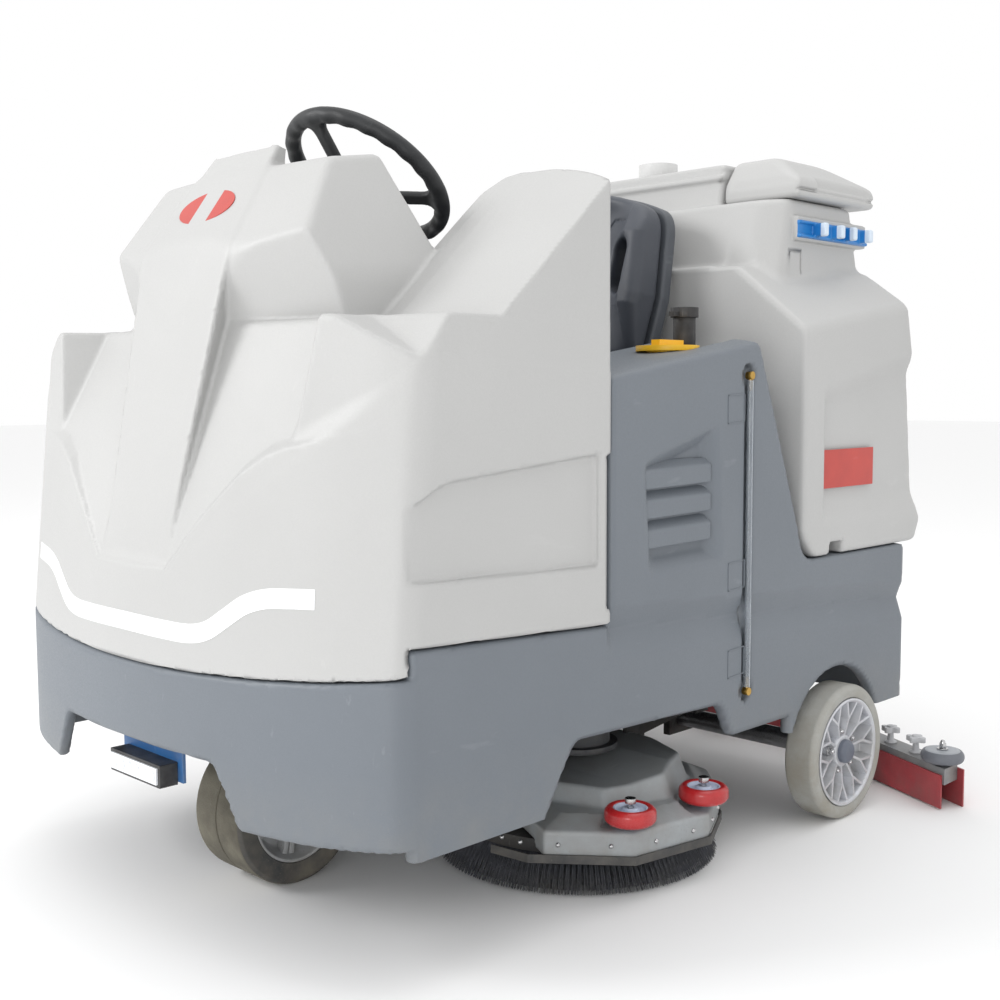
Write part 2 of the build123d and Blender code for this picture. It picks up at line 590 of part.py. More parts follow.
def steering_gearbox():
    """Bevel box over the turret, on a tube that stands on the turret plate."""
    outer = box(-50, 50, FRONT_AXLE_Y - 50, FRONT_AXLE_Y + 50, GEARBOX_Z0, GEARBOX_Z1)
    inner = box(-42, 42, FRONT_AXLE_Y - 42, FRONT_AXLE_Y + 42, GEARBOX_Z0 + 8, GEARBOX_Z1 - 8)
    tube = rod_z(TUBE_R, 0, FRONT_AXLE_Y, RAIL_Z0, GEARBOX_Z0 + 4)
    flange = rod_z(66, 0, FRONT_AXLE_Y, RAIL_Z0, RAIL_Z0 + 10)
    box_and_tube = outer - inner + tube + flange
    box_and_tube = box_and_tube - rod_z(KINGPIN_R + RUN_FIT, 0, FRONT_AXLE_Y, RAIL_Z0 - 1, RAIL_Z0 + 13)
    bore = rod_z(SPINDLE_R + RUN_FIT, 0, FRONT_AXLE_Y, RAIL_Z0, GEARBOX_Z0 + 20)
    return box_and_tube - bore - axis_rod(SHAFT_R + 3, 280, 360)


# ---------------------------------------------------------------- dash, pedal, mat, light
def dash_panel():
    """Dash plate with a raised display, and holes for the column, key and emergency button."""
    plate = Box(2 * DASH_HALF_W - 1, 2 * DASH_HALF_H - 1, 5) + Pos(0, 36, 5) * Box(120, 24, 8)
    for x, r in ((BUTTON_X, BUTTON_R), (KEY_X, KEY_R)):
        plate = plate - Pos(x, 16, 0) * Cylinder(r + 0.3, 30)
    return dash_frame() * plate - axis_rod(27, 100, 260)


def emergency_button():
    """Mushroom button on its plunger."""
    button = Pos(0, 0, 20) * Cylinder(17, 10) + Pos(0, 0, 2) * Cylinder(BUTTON_R, 28)
    return dash_frame() * Pos(BUTTON_X, 16, 0) * button


def ignition_key():
    """Key in its barrel."""
    return dash_frame() * Pos(KEY_X, 16, 0) * (Cylinder(KEY_R, 16) + Pos(0, 0, 18) * Box(4, 20, 22))


def accelerator_pedal():
    """Treadle hinged at the heel."""
    plate = Pos(PEDAL_X, PEDAL_Y, PEDAL_Z) * Rot(-PEDAL_ANGLE, 0, 0) * Pos(0, -52, 0) * Box(70, 100, 8)
    return plate + rod_x(PEDAL_PIN_R, PEDAL_X - 52, PEDAL_X + 52, PEDAL_Y, PEDAL_Z)


def floor_mat():
    """Ribbed rubber mat, with a tongue out through the step-in opening."""
    rear_y = BAY_FRONT_Y - WALL - 4
    mat = box(-FOOTWELL_HALF_W + 4, FOOTWELL_HALF_W - 4, FOOTWELL_FRONT_Y + 4, WING_END_Y - 4, SEAM_Z, SEAM_Z + 5)
    mat = mat + box(-BAY_HALF_W + 4, BAY_HALF_W - 4, WING_END_Y - 10, rear_y, SEAM_Z, SEAM_Z + 5)
    mat = mat + box(-BODY_HALF_W + 20, -BAY_HALF_W + 10, STEP_IN_FRONT_Y + 4, rear_y, SEAM_Z, SEAM_Z + 5)
    for k in range(16):
        y = FOOTWELL_FRONT_Y + 16 + 15 * k
        mat = mat + box(-BAY_HALF_W + 10, BAY_HALF_W - 10, y, y + 6, SEAM_Z + 4, SEAM_Z + 7)
    for x in (PEDAL_X - 44, PEDAL_X + 44):
        mat = mat - box(x - 8, x + 8, PEDAL_Y - 12, PEDAL_Y + 12, SEAM_Z - 1, SEAM_Z + 20)
    return mat


def work_light():
    """Light bar under the nose: housing, lens and bracket."""
    housing = box(-76, 76, -820, -788, 226, 262)
    lens = box(-70, 70, -823, -820, 231, 257)
    for k in range(6):
        lens = lens + Pos(-57.5 + 23 * k, -823, 244) * Rot(90, 0, 0) * Cylinder(9, 4)
    bracket = box(-90, 90, -788, -782, 230, 306) + box(-40, 40, NOSE_Y + WALL + 1, -782, 300, 306)
    return housing, lens, bracket


# ---------------------------------------------------------------- tank fittings
def level_tube():
    """Clear level tube in its groove."""
    x, y = LEVEL_X, LEVEL_Y
    return rod_z(6, x, y, LEVEL_Z0, LEVEL_Z1) - rod_z(4.5, x, y, LEVEL_Z0 - 1, LEVEL_Z1 + 1)


def level_elbows():
    """Brass elbow at each end of the level tube."""
    elbows = []
    for z, tip in ((LEVEL_Z0 - 8, LEVEL_Z0 + 18), (LEVEL_Z1 + 8, LEVEL_Z1 - 18)):
        body = rod_x(7, BODY_HALF_W - 5, LEVEL_X + 5, LEVEL_Y, z)
        elbows.append(body + rod_z(4, LEVEL_X, LEVEL_Y, min(z, tip), max(z, tip)))
    return Compound(children=elbows)


def handle_clips():
    """Clip rail for mop handles: a channel with two sprung jaws."""
    x = TANK_UPPER_HALF_W
    rail = box(x, x + 14, 396, 640, 1128, 1162)
    for y in (478, 576):
        for jaw_y in (y - 40, y + 24):
            rail = rail + box(x + 10, x + 46, jaw_y, jaw_y + 10, 1132, 1158)
    return rail


def filler_cup():
    """Black dip cup standing on the tray, open inside."""
    return rod_z(CUP_R, CUP_X, CUP_Y, TRAY_Z, TRAY_Z + 62) - rod_z(CUP_R - 3, CUP_X, CUP_Y, TRAY_Z + 4, TRAY_Z + 63)


def cup_cap():
    """Hinged cap of the dip cup."""
    tongue = box(CUP_X - 6, CUP_X + 6, CUP_Y - CUP_R - 18, CUP_Y - CUP_R, TRAY_Z + 64, TRAY_Z + 72)
    return rod_z(CUP_R + 5, CUP_X, CUP_Y, TRAY_Z + 62.5, TRAY_Z + 80) + tongue


def fill_cap():
    """Yellow bayonet cap with a grip bar."""
    cap = rod_z(55, FILL_X, FILL_Y, TRAY_Z + 0.5, TRAY_Z + 10)
    cap = cap + rod_z(FILL_HOLE_R - 0.5, FILL_X, FILL_Y, TRAY_Z - 16, TRAY_Z + 2)
    return cap + box(FILL_X - 9, FILL_X + 9, FILL_Y - 34, FILL_Y + 34, TRAY_Z + 8, TRAY_Z + 20)


def suction_motor():
    """Vacuum motor hung from the top of the raised block."""
    top = TANK_TOP_Z - WALL
    return rod_z(88, -60, 520, top - 8, top) + rod_z(70, -60, 520, top - 150, top - 4)


def batteries():
    """Four traction batteries on the frame rails."""
    cells = []
    for x in (-136, 136):
        for y in (-90, 114):
            cell = box(x - 130, x + 130, y - 100, y + 100, RAIL_Z1, RAIL_Z1 + 270)
            posts = rod_z(9, x - 90, y, RAIL_Z1 + 268, RAIL_Z1 + 284)
            posts = posts + Pos(180, 0, 0) * posts
            cells.append(cell + posts)
    return Compound(children=cells)


def breather_cap():
    """Small round cap on top of the tank."""
    return rod_z(42, 40, 450, TANK_TOP_Z, TANK_TOP_Z + 28)


# ---------------------------------------------------------------- seat
def seat_hood():
    """Moulded hood over the batteries; it carries the seat."""
    half = BAY_HALF_W - 2 * GAP
    outer = box(-half, half, BAY_FRONT_Y + GAP, HOOD_REAR_Y, HOOD_SHELF_Z + 0.5, HOOD_Z)
    inner = box(-BAY_HALF_W + 12, BAY_HALF_W - 12, BAY_FRONT_Y + 12, HOOD_REAR_Y - 8, HOOD_SHELF_Z - 5, HOOD_Z - 6)
    return outer - inner


def back_outline(half_w, z0, z1, corner_r):
    """Front view of the backrest."""
    right = [(half_w - 20, z0), (half_w, z0 + 120), (half_w - 12, z1)]
    left = [(-x, z) for x, z in reversed(right)]
    face = make_face(Plane.XZ * Polyline(*right, *left, close=True))
    top = face.vertices().sort_by(Axis.Z)[-2:]
    return fillet(top, corner_r)


def hand_holes():
    """The two grab holes through the backrest and its shell."""
    slot = Pos(168, 0, 1075) * Rot(90, 0, 0) * extrude(SlotOverall(96, 46, rotation=80), amount=160, both=True)
    return slot + other_side(slot)


def recline(shape):
    """Lean a seat-back piece rearwards."""
    pivot = Pos(0, SEAT_BACK_Y + 60, 900)
    return pivot * Rot(-SEAT_RECLINE, 0, 0) * Pos(0, -SEAT_BACK_Y - 60, -900) * shape


def seat_backrest():
    """Foam backrest with a thick bolster down each side."""
    pad = extrude(back_outline(SEAT_HALF_W, 898, 1238, 110), amount=46, dir=(0, 1, 0))
    pad = Pos(0, SEAT_BACK_Y + 62, 0) * pad
    back_y, front_y = SEAT_BACK_Y + 66, SEAT_BACK_Y + 26
    bolster = side_prism([(back_y, 900), (front_y, 960), (front_y, 1120), (back_y, 1200)], 190, SEAT_HALF_W - 2)
    return recline(pad + bolster + other_side(bolster) - Pos(0, SEAT_BACK_Y + 60, 0) * hand_holes())


def seat_shell():
    """Hard shell behind the backrest, with the pan that carries the cushion."""
    back = extrude(back_outline(SEAT_HALF_W + 3, 880, 1243, 110), amount=22, dir=(0, 1, 0))
    back = Pos(0, SEAT_BACK_Y + 108.4, 0) * back
    back = recline(back - Pos(0, SEAT_BACK_Y + 120, 0) * hand_holes())
    pan = box(-200, 200, SEAT_FRONT_Y + 8, SEAT_BACK_Y + 110, HOOD_Z, HOOD_Z + 14)
    return back + pan + box(-150, 150, SEAT_BACK_Y + 90, SEAT_BACK_Y + 112, HOOD_Z, 886)


def seat_cushion():
    """Foam cushion."""
    z0 = HOOD_Z + 14.4
    cushion = box(-SEAT_HALF_W, SEAT_HALF_W, SEAT_FRONT_Y, SEAT_BACK_Y + 56, z0, z0 + CUSHION_T)
    return fillet(cushion.edges(), 24)


# ---------------------------------------------------------------- brush deck
def cover_outline(scale, z):
    """Plan outline of one brush housing, drawn about the brush centre."""
    points = [(150, -300), (230, -345), (400, -345), (540, -235), (562, -65), (492, 60), (400, 150), (250, 175),
              (60, 150), (12, 60), (12, -200)]
    placed = [(BRUSH_X + (x - BRUSH_X) * scale, BRUSH_Y + (y - BRUSH_Y) * scale) for x, y in points]
    return Pos(0, 0, z) * make_face(Polyline(*placed, close=True))


def hat_outline(grow, z):
    """Plan outline of the raised motor seat on a brush housing."""
    return Pos(BRUSH_X, BRUSH_Y, z) * Rectangle(168 + grow, 190 + grow)


def deck_covers():
    """Faceted housing over each brush."""
    def body(t):
        shrink = 1 - t / 240
        walls = loft([cover_outline(shrink, DECK_EDGE_Z), cover_outline(shrink, DECK_SIDE_TOP_Z - t)], ruled=True)
        slope = loft([cover_outline(shrink, DECK_SIDE_TOP_Z - t), cover_outline(0.86 * shrink, DECK_TOP_Z - t)], ruled=True)
        hat = loft([hat_outline(20 - 2 * t, DECK_TOP_Z - t - 1), hat_outline(-2 * t, HAT_TOP_Z - t)], ruled=True)
        return walls + slope + hat

    cover = body(0) - body(DECK_SKIN_T) - rod_z(SHAFT_FIT_R + 3, BRUSH_X, BRUSH_Y, DECK_TOP_Z, HAT_TOP_Z + 5)
    for x, y in ROLLER_PLACES:
        cover = cover - rod_z(ROLLER_BOLT_R, x, y, DECK_EDGE_Z, ROLLER_Z)
    return both_sides(cover)


def brush_motors():
    """One vertical gear motor over each brush."""
    motor = rod_z(MOTOR_R, BRUSH_X, BRUSH_Y, HAT_TOP_Z, MOTOR_TOP_Z)
    motor = motor + rod_z(76, BRUSH_X, BRUSH_Y, HAT_TOP_Z, HAT_TOP_Z + 10)
    return both_sides(motor - rod_z(SHAFT_FIT_R + RUN_FIT, BRUSH_X, BRUSH_Y, HAT_TOP_Z - 1, HAT_TOP_Z + 50))


def deck_screws():
    """Roller bolts."""
    group = []
    for x, y in ROLLER_PLACES:
        bolt = rod_z(ROLLER_BOLT_R, x, y, DECK_SIDE_TOP_Z - 14, ROLLER_Z + 16)
        bolt = bolt + rod_z(9, x, y, ROLLER_Z + ROLLER_T / 2 + 0.5, ROLLER_Z + 20)
        bolt = bolt + rod_z(9, x, y, ROLLER_Z - 16, ROLLER_Z - ROLLER_T / 2 - 0.5)
        group += [bolt, other_side(bolt)]
    return Compound(children=group)


def wall_roller(x, y):
    """Moulded guide roller."""
    wheel = rod_z(ROLLER_R, x, y, ROLLER_Z - ROLLER_T / 2, ROLLER_Z + ROLLER_T / 2)
    wheel = fillet(wheel.edges(), 6)
    return wheel - rod_z(ROLLER_BOLT_R + RUN_FIT, x, y, ROLLER_Z - 30, ROLLER_Z + 30)


def deck_frame():
    """Beam that joins both housings, with the lugs for the lift arms."""
    beam = box(-176, 176, BRUSH_Y - 40, BRUSH_Y + 40, DECK_TOP_Z, DECK_TOP_Z + 34)
    beam = beam + box(-90, 90, BRUSH_Y + 30, DECK_PIVOT_Y - 30, DECK_TOP_Z, DECK_TOP_Z + 20)
    beam = beam + box(-ARM_X - 17, ARM_X + 17, DECK_PIVOT_Y - 40, DECK_PIVOT_Y - 24, DECK_TOP_Z, DECK_TOP_Z + 24)
    lug = box(ARM_X + 9, ARM_X + 17, DECK_PIVOT_Y - 40, DECK_PIVOT_Y + 16, DECK_TOP_Z, DECK_PIVOT_Z + ARM_GAP_Z + 16)
    beam = beam + lug + other_side(lug)
    for z in (DECK_PIVOT_Z, DECK_PIVOT_Z + ARM_GAP_Z):
        pin = rod_x(PIN_R, ARM_X - 10, ARM_X + 12, DECK_PIVOT_Y, z)
        beam = beam + pin + other_side(pin)
    return beam


def lift_arms(rise, deck_bore_r, tie_share):
    """A pair of lift arms and the tube that ties them."""
    y0, z0 = FRAME_PIVOT_Y, FRAME_PIVOT_Z + rise
    y1, z1 = DECK_PIVOT_Y, DECK_PIVOT_Z + rise
    arm = Pos(ARM_X, (y0 + y1) / 2, (z0 + z1) / 2) * Rot(ARM_SLOPE, 0, 0) * Box(ARM_T, ARM_LEN, 22)
    for y, z, r in ((y0, z0, PIN_R + RUN_FIT), (y1, z1, deck_bore_r)):
        arm = arm + rod_x(13, ARM_X - ARM_T / 2, ARM_X + ARM_T / 2, y, z)
        arm = arm - rod_x(r, ARM_X - 20, ARM_X + 20, y, z)
    tie_y = y0 + (y1 - y0) * tie_share
    tie_z = z0 + (z1 - z0) * tie_share
    return arm + other_side(arm) + rod_x(7, -ARM_X, ARM_X, tie_y, tie_z)


def brush_block():
    """Turned brush block with its drive shaft, on the driver's left."""
    shaft = rod_z(SHAFT_FIT_R, BRUSH_X, BRUSH_Y, BLOCK_TOP_Z, HAT_TOP_Z + 44)
    return rod_z(BLOCK_R, BRUSH_X, BRUSH_Y, BRISTLE_TOP_Z, BLOCK_TOP_Z) + shaft


def bristles():
    """Ring of bristles, flared towards the floor, on the driver's left."""
    section = Polyline((112, BRISTLE_Z), (BRUSH_R, BRISTLE_Z), (BLOCK_R, BRISTLE_TOP_Z), (112, BRISTLE_TOP_Z),
                       close=True)
    return Pos(BRUSH_X, BRUSH_Y, 0) * revolve(make_face(Plane.XZ * section), Axis.Z)


# ---------------------------------------------------------------- squeegee
def squeegee_y(x):
    """Centre line of the squeegee in plan."""
    return SQ_MID_Y - max(0.0, abs(x) - SQ_MID_HALF) * tan(radians(SQ_SWEEP))


def squeegee_band(front, rear, half_w, z0, z1):
    """A strip along the squeegee between two offsets from its centre line."""
    xs = [-half_w, -SQ_MID_HALF, SQ_MID_HALF, half_w]
    near = [(x, squeegee_y(x) + front) for x in xs]
    far = [(x, squeegee_y(x) + rear) for x in reversed(xs)]
    return plan_prism(near + far, z0, z1)


def squeegee_body():
    """Channel with end pins for the rollers and the swivel post."""
    body = squeegee_band(-SQ_BODY_T / 2, SQ_BODY_T / 2, SQ_HALF_W - 16, SQ_BODY_Z0, SQ_BODY_Z1)
    pin = rod_z(6, SQ_ROLLER_X, squeegee_y(SQ_ROLLER_X), SQ_BODY_Z1 - 4, SQ_BODY_Z1 + 36)
    pin = pin + rod_z(13, SQ_ROLLER_X, squeegee_y(SQ_ROLLER_X), SQ_BODY_Z1, SQ_BODY_Z1 + 4)
    body = body + pin + other_side(pin) + rod_z(38, 0, SQ_SWIVEL_Y, SQ_BODY_Z1 - 4, SQ_BODY_Z1 + 10)
    return body + rod_z(12, 0, SQ_SWIVEL_Y, SQ_BODY_Z1, SQ_BODY_Z1 + 58)


def squeegee_blades():
    """Front and rear blade."""
    rear = squeegee_band(SQ_BODY_T / 2, SQ_BODY_T / 2 + BLADE_T, SQ_HALF_W, 0.5, SQ_BODY_Z1 - 8)
    front = squeegee_band(-SQ_BODY_T / 2 - BLADE_T, -SQ_BODY_T / 2, SQ_HALF_W - 22, 3, SQ_BODY_Z1 - 14)
    return Compound(children=[front, rear])


def squeegee_knobs():
    """Star knobs that clamp the blades."""
    knobs = []
    for x in SQ_KNOB_XS:
        y = squeegee_y(x)
        star = Circle(14)
        for k in range(5):
            star = star + Rot(0, 0, 72 * k) * Pos(14, 0) * Circle(7)
        knob = Pos(x, y, SQ_BODY_Z1 + 23) * extrude(star, amount=14)
        knob = knob + rod_z(6, x, y, SQ_BODY_Z1, SQ_BODY_Z1 + 25)
        knobs.append(knob)
    return both_sides(Compound(children=[solid for knob in knobs for solid in knob.solids()]))


def squeegee_roller():
    """End roller on the driver's left."""
    y = squeegee_y(SQ_ROLLER_X)
    wheel = rod_z(SQ_ROLLER_R, SQ_ROLLER_X, y, SQ_BODY_Z1 + 5, SQ_BODY_Z1 + 27)
    return fillet(wheel.edges(), 5) - rod_z(6 + RUN_FIT, SQ_ROLLER_X, y, SQ_BODY_Z1, SQ_BODY_Z1 + 60)


def squeegee_arm():
    """Trailing arm from the frame to the squeegee's swivel post."""
    eye_z0 = SQ_BODY_Z1 + 11
    end_y = SQ_SWIVEL_Y - 34
    top_z = SQ_PIVOT_Z + 16
    edge = [(SQ_PIVOT_Y - 16, SQ_PIVOT_Z - 14), (SQ_PIVOT_Y - 16, top_z), (SQ_PIVOT_Y + 16, top_z),
            (end_y, eye_z0 + 34), (end_y, eye_z0), (end_y - 40, eye_z0)]
    arm = side_prism(edge, 52, 62)
    arm = arm + other_side(arm) + box(-62, 62, end_y - 14, end_y, eye_z0, eye_z0 + 34)
    arm = arm + box(-26, 26, end_y - 4, SQ_SWIVEL_Y, eye_z0, eye_z0 + 34)
    arm = arm + rod_z(26, 0, SQ_SWIVEL_Y, eye_z0, eye_z0 + 34)
    arm = arm - rod_x(PIN_R + 2 + RUN_FIT, -80, 80, SQ_PIVOT_Y, SQ_PIVOT_Z)
    return arm - rod_z(12 + RUN_FIT, 0, SQ_SWIVEL_Y, eye_z0 - 5, eye_z0 + 50)


# ---------------------------------------------------------------- write every node
os.makedirs("parts", exist_ok=True)
FRONT_TYRE = tyre(0, FRONT_TREAD_W, FRONT_R, FRONT_RIM_R, FRONT_AXLE_Y, FRONT_R, 4)
REAR_TYRE = tyre(REAR_WHEEL_X, REAR_TREAD_W, REAR_R, REAR_RIM_R, REAR_AXLE_Y, REAR_R, 0)
REAR_RIM = rear_rim()
BLOCK = brush_block()
BRISTLES = bristles()
END_ROLLER = squeegee_roller()
HOUSING, LENS, BRACKET = work_light()

save("chassis_frame", chassis_frame())
save("base_tank", base_tank())
save("front_cowl", front_cowl())
save("cowl_strip", cowl_strip())
save("body_labels", body_labels())
save("recovery_tank", recovery_tank())
save("recovery_lid", recovery_lid())
save("breather_cap", breather_cap())
save("suction_motor", suction_motor())
save("batteries", batteries())
save("handle_clips", handle_clips())
save("level_tube", level_tube())
save("level_elbows", level_elbows())
save("filler_cup", filler_cup())
save("cup_cap", cup_cap())
save("fill_cap", fill_cap())

save("rear_axle", rear_axle())
save("rear_tyre_left", REAR_TYRE)
save("rear_tyre_right", other_side(REAR_TYRE))
save("rear_rim_left", REAR_RIM)
save("rear_rim_right", other_side(REAR_RIM))
save("steering_fork", steering_fork())
save("front_tyre", FRONT_TYRE)
save("front_rim", front_rim())

save("steering_wheel", steering_wheel())
save("steering_shaft", axis_rod(SHAFT_R, 36, 340))
save("steering_column", steering_column())
save("steering_gearbox", steering_gearbox())
save("dash_panel", dash_panel())
save("emergency_button", emergency_button())
save("ignition_key", ignition_key())
save("accelerator_pedal", accelerator_pedal())
save("floor_mat", floor_mat())
save("work_light_housing", HOUSING)
save("work_light_lens", LENS)
save("work_light_bracket", BRACKET)

save("seat_hood", seat_hood())
save("seat_shell", seat_shell())
save("seat_cushion", seat_cushion())
save("seat_backrest", seat_backrest())

save("deck_frame", deck_frame())
save("deck_covers", deck_covers())
save("deck_screws", deck_screws())
save("deck_arms_lower", lift_arms(0, PIN_R + RUN_FIT, 0.45))
save("deck_arms_upper", lift_arms(ARM_GAP_Z, PIN_R + 1.0, 0.3))
save("brush_motors", brush_motors())
save("brush_block_left", BLOCK)
save("brush_block_right", other_side(BLOCK))
save("bristles_left", BRISTLES)
save("bristles_right", other_side(BRISTLES))
for place, (x, y) in zip(("front", "rear"), ROLLER_PLACES):
    roller = wall_roller(x, y)
    save(f"wall_roller_{place}_left", roller)
    save(f"wall_roller_{place}_right", other_side(roller))

save("squeegee_arm", squeegee_arm())
save("squeegee_body", squeegee_body())
save("squeegee_blades", squeegee_blades())
save("squeegee_knobs", squeegee_knobs())
save("squeegee_roller_left", END_ROLLER)
save("squeegee_roller_right", other_side(END_ROLLER))
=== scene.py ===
import bpy
import bmesh
import math
import random
import numpy as np
from mathutils import Vector, Matrix


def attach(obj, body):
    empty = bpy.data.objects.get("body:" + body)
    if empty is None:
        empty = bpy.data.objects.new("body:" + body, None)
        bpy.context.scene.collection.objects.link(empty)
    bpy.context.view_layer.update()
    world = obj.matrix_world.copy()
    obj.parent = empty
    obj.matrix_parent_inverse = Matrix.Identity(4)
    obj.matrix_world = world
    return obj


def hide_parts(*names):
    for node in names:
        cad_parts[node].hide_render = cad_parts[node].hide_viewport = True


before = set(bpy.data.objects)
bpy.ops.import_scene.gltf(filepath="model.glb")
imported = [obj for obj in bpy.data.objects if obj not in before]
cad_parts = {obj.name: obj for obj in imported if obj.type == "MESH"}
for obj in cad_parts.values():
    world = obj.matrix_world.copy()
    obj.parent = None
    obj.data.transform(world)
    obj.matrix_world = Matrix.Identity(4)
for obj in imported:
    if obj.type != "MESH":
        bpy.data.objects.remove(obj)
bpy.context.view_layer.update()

# ------------------------------------------------------------ view
# The camera stands at the machine's front left corner, at seat height, tilted a little down.
# It is a short telephoto lens, about two and a half metres away.
EYE = (1.80785, -1.81428, 0.83365)
LOOK = (-0.70380, 0.70530, -0.08490)
ROLL = math.radians(-0.23)


def placed(name, data):
    """An object in the scene for a mesh, a lens or a lamp."""
    obj = bpy.data.objects.new(name, data)
    bpy.context.collection.objects.link(obj)
    return obj


lens = bpy.data.cameras.new("front_left_view")
lens.lens = 46.25
lens.sensor_width = 36
lens.clip_end = 60
camera = placed("front_left_view", lens)
look = Vector(LOOK).normalized()
side = look.cross(Vector((0, 0, 1))).normalized()
up = side.cross(look)
side, up = (side * math.cos(ROLL) + up * math.sin(ROLL), up * math.cos(ROLL) - side * math.sin(ROLL))
turn = Matrix((side, up, -look)).transposed().to_4x4()
camera.matrix_world = Matrix.Translation(EYE) @ turn
bpy.context.scene.camera = camera


# ------------------------------------------------------------ front cowl
# The cowl is one rotomoulded polyethylene shell: nose, wings beside the footwell, and the head
# that carries the dash. Its shape is a field in millimetres: negative inside the plastic, with
# edges rounded by soft maxima as the mould rounds them.
def smax(a, b, r):
    """The later of two fields, with the edge between them rounded to about r."""
    h = np.maximum(r - np.abs(a - b), 0.0) / r
    return np.maximum(a, b) + h * h * r * 0.25


def smin(a, b, r):
    """The nearer of two fields, with the corner between them filled to about r."""
    return -smax(-a, -b, r)


def meet(r, *fields):
    """What is inside every field."""
    out = fields[0]
    for field in fields[1:]:
        out = smax(out, field, r)
    return out


def face(p, q, r, away):
    """The plane through three points, as (normal, offset), turned from the point away."""
    p, q, r, away = (np.array(v, float) for v in (p, q, r, away))
    n = np.cross(q - p, r - p)
    n /= np.linalg.norm(n)
    if n @ (away - p) > 0:
        n = -n
    return n, n @ p


def beyond(plane, x, y, z):
    """Signed distance past a plane."""
    n, c = plane
    return n[0] * x + n[1] * y + n[2] * z - c


def convex_sheet(points, a, b, r):
    """A convex outline in two coordinates, negative inside, with corners rounded to about r."""
    pts = np.array(points, float)
    mid = pts.mean(0)
    out = None
    for i in range(len(pts)):
        p, q = pts[i], pts[(i + 1) % len(pts)]
        n = np.array([q[1] - p[1], p[0] - q[0]])
        n /= np.linalg.norm(n)
        if n @ (mid - p) > 0:
            n = -n
        d = n[0] * (a - p[0]) + n[1] * (b - p[1])
        out = d if out is None else smax(out, d, r)
    return out


def block(x, y, z, x0, x1, y0, y1, z0, z1, r):
    """A block between limits, with rounded edges."""
    return meet(r, x0 - x, x - x1, y0 - y, y - y1, z0 - z, z - z1)


def grid_cells(field, low, high, step):
    """Samples a field over a box: the three axes and the values."""
    axes = [np.arange(low[i], high[i] + step, step) for i in range(3)]
    x, y, z = np.ix_(*axes)
    value = np.broadcast_to(field(x, y, z), [len(a) for a in axes]).astype(np.float32)
    return axes, value


def net(field, low, high, step):
    """A quad mesh on the field's zero surface: (points, quads), pulled on to the surface."""
    axes, v = grid_cells(field, low, high, step)
    inside = v < 0
    count = np.zeros([n - 1 for n in v.shape], np.int8)
    total = np.zeros(list(count.shape) + [3], np.float32)
    for axis in range(3):
        u, w = [a for a in range(3) if a != axis]
        for du in (0, 1):
            for dw in (0, 1):
                first = [slice(None, -1)] * 3
                first[u] = slice(du, v.shape[u] - 1 + du)
                first[w] = slice(dw, v.shape[w] - 1 + dw)
                second = list(first)
                second[axis] = slice(1, None)
                a, b = v[tuple(first)], v[tuple(second)]
                cross = (a < 0) != (b < 0)
                t = np.where(cross, a / np.where(cross, a - b, 1), 0)
                count += cross
                total[..., axis] += t
                total[..., u] += cross * du
                total[..., w] += cross * dw
    used = count > 0
    index = -np.ones(count.shape, np.int64)
    index[used] = np.arange(used.sum())
    place = np.argwhere(used) + total[used] / count[used][:, None]
    points = np.array([axes[i][0] for i in range(3)]) + place * step
    quads = []
    for axis in range(3):
        u, w = [a for a in range(3) if a != axis]
        first = [slice(1, -1)] * 3
        first[axis] = slice(None, -1)
        second = list(first)
        second[axis] = slice(1, None)
        a, b = inside[tuple(first)], inside[tuple(second)]
        hits = np.argwhere(a != b)
        flip = a[tuple(hits.T)]
        corner = hits.copy()
        corner[:, u] += 1
        corner[:, w] += 1
        ring = []
        for du, dw in ((-1, -1), (0, -1), (0, 0), (-1, 0)):
            cell = corner.copy()
            cell[:, u] += du
            cell[:, w] += dw
            ring.append(index[tuple(cell.T)])
        ring = np.stack(ring, 1)
        if axis == 1:
            flip = ~flip
        ring[~flip] = ring[~flip][:, ::-1]
        quads.append(ring)
    h = step * 0.25
    for _ in range(3):
        f, g = slope(field, points, h)
        points = points - g * (f / np.maximum((g * g).sum(1), 1e-3))[:, None].clip(-0.4 * step, 0.4 * step)
    return points, np.concatenate(quads)


def slope(field, points, h):
    """The field and its gradient at points."""
    x, y, z = points.T
    f = field(x, y, z)
    g = [(field(x + h * (i == 0), y + h * (i == 1), z + h * (i == 2)) - f) / h for i in range(3)]
    return f, np.stack(g, 1)


def moulding(name, field, low, high, step, quick_step=None):
    """A smooth object in metres from a field in millimetres."""
    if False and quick_step:
        step = quick_step
    points, quads = net(field, low, high, step)
    mesh = bpy.data.meshes.new(name)
    mesh.from_pydata((points / 1000).tolist(), [], quads.tolist())
    mesh.polygons.foreach_set("use_smooth", [True] * len(mesh.polygons))
    f, g = slope(field, points, 0.5)
    g /= np.maximum(np.linalg.norm(g, axis=1), 1e-6)[:, None]
    mesh.validate()
    mesh.normals_split_custom_set_from_vertices(g.tolist())
    return placed(name, mesh)


# Finishes. Every piece has moulded, painted, metal or rubber detail worked out from its own
# place: slow colour drift, fine grain, scuffs, wear at edges and dust towards the floor.
def shade(r, g, b):
    """A display colour, 0 to 255, as a linear colour."""
    return tuple(((c / 255 + 0.055) / 1.055) ** 2.4 if c > 10 else c / 3294 for c in (r, g, b)) + (1.0,)


def add(tree, kind, values=(), **settings):
    """A node with its settings, and its inputs set or linked."""
    node = tree.nodes.new(kind)
    for key, value in settings.items():
        setattr(node, key, value)
    for key, value in dict(values).items():
        if isinstance(value, bpy.types.NodeSocket):
            tree.links.new(value, node.inputs[key])
        else:
            node.inputs[key].default_value = value
    return node


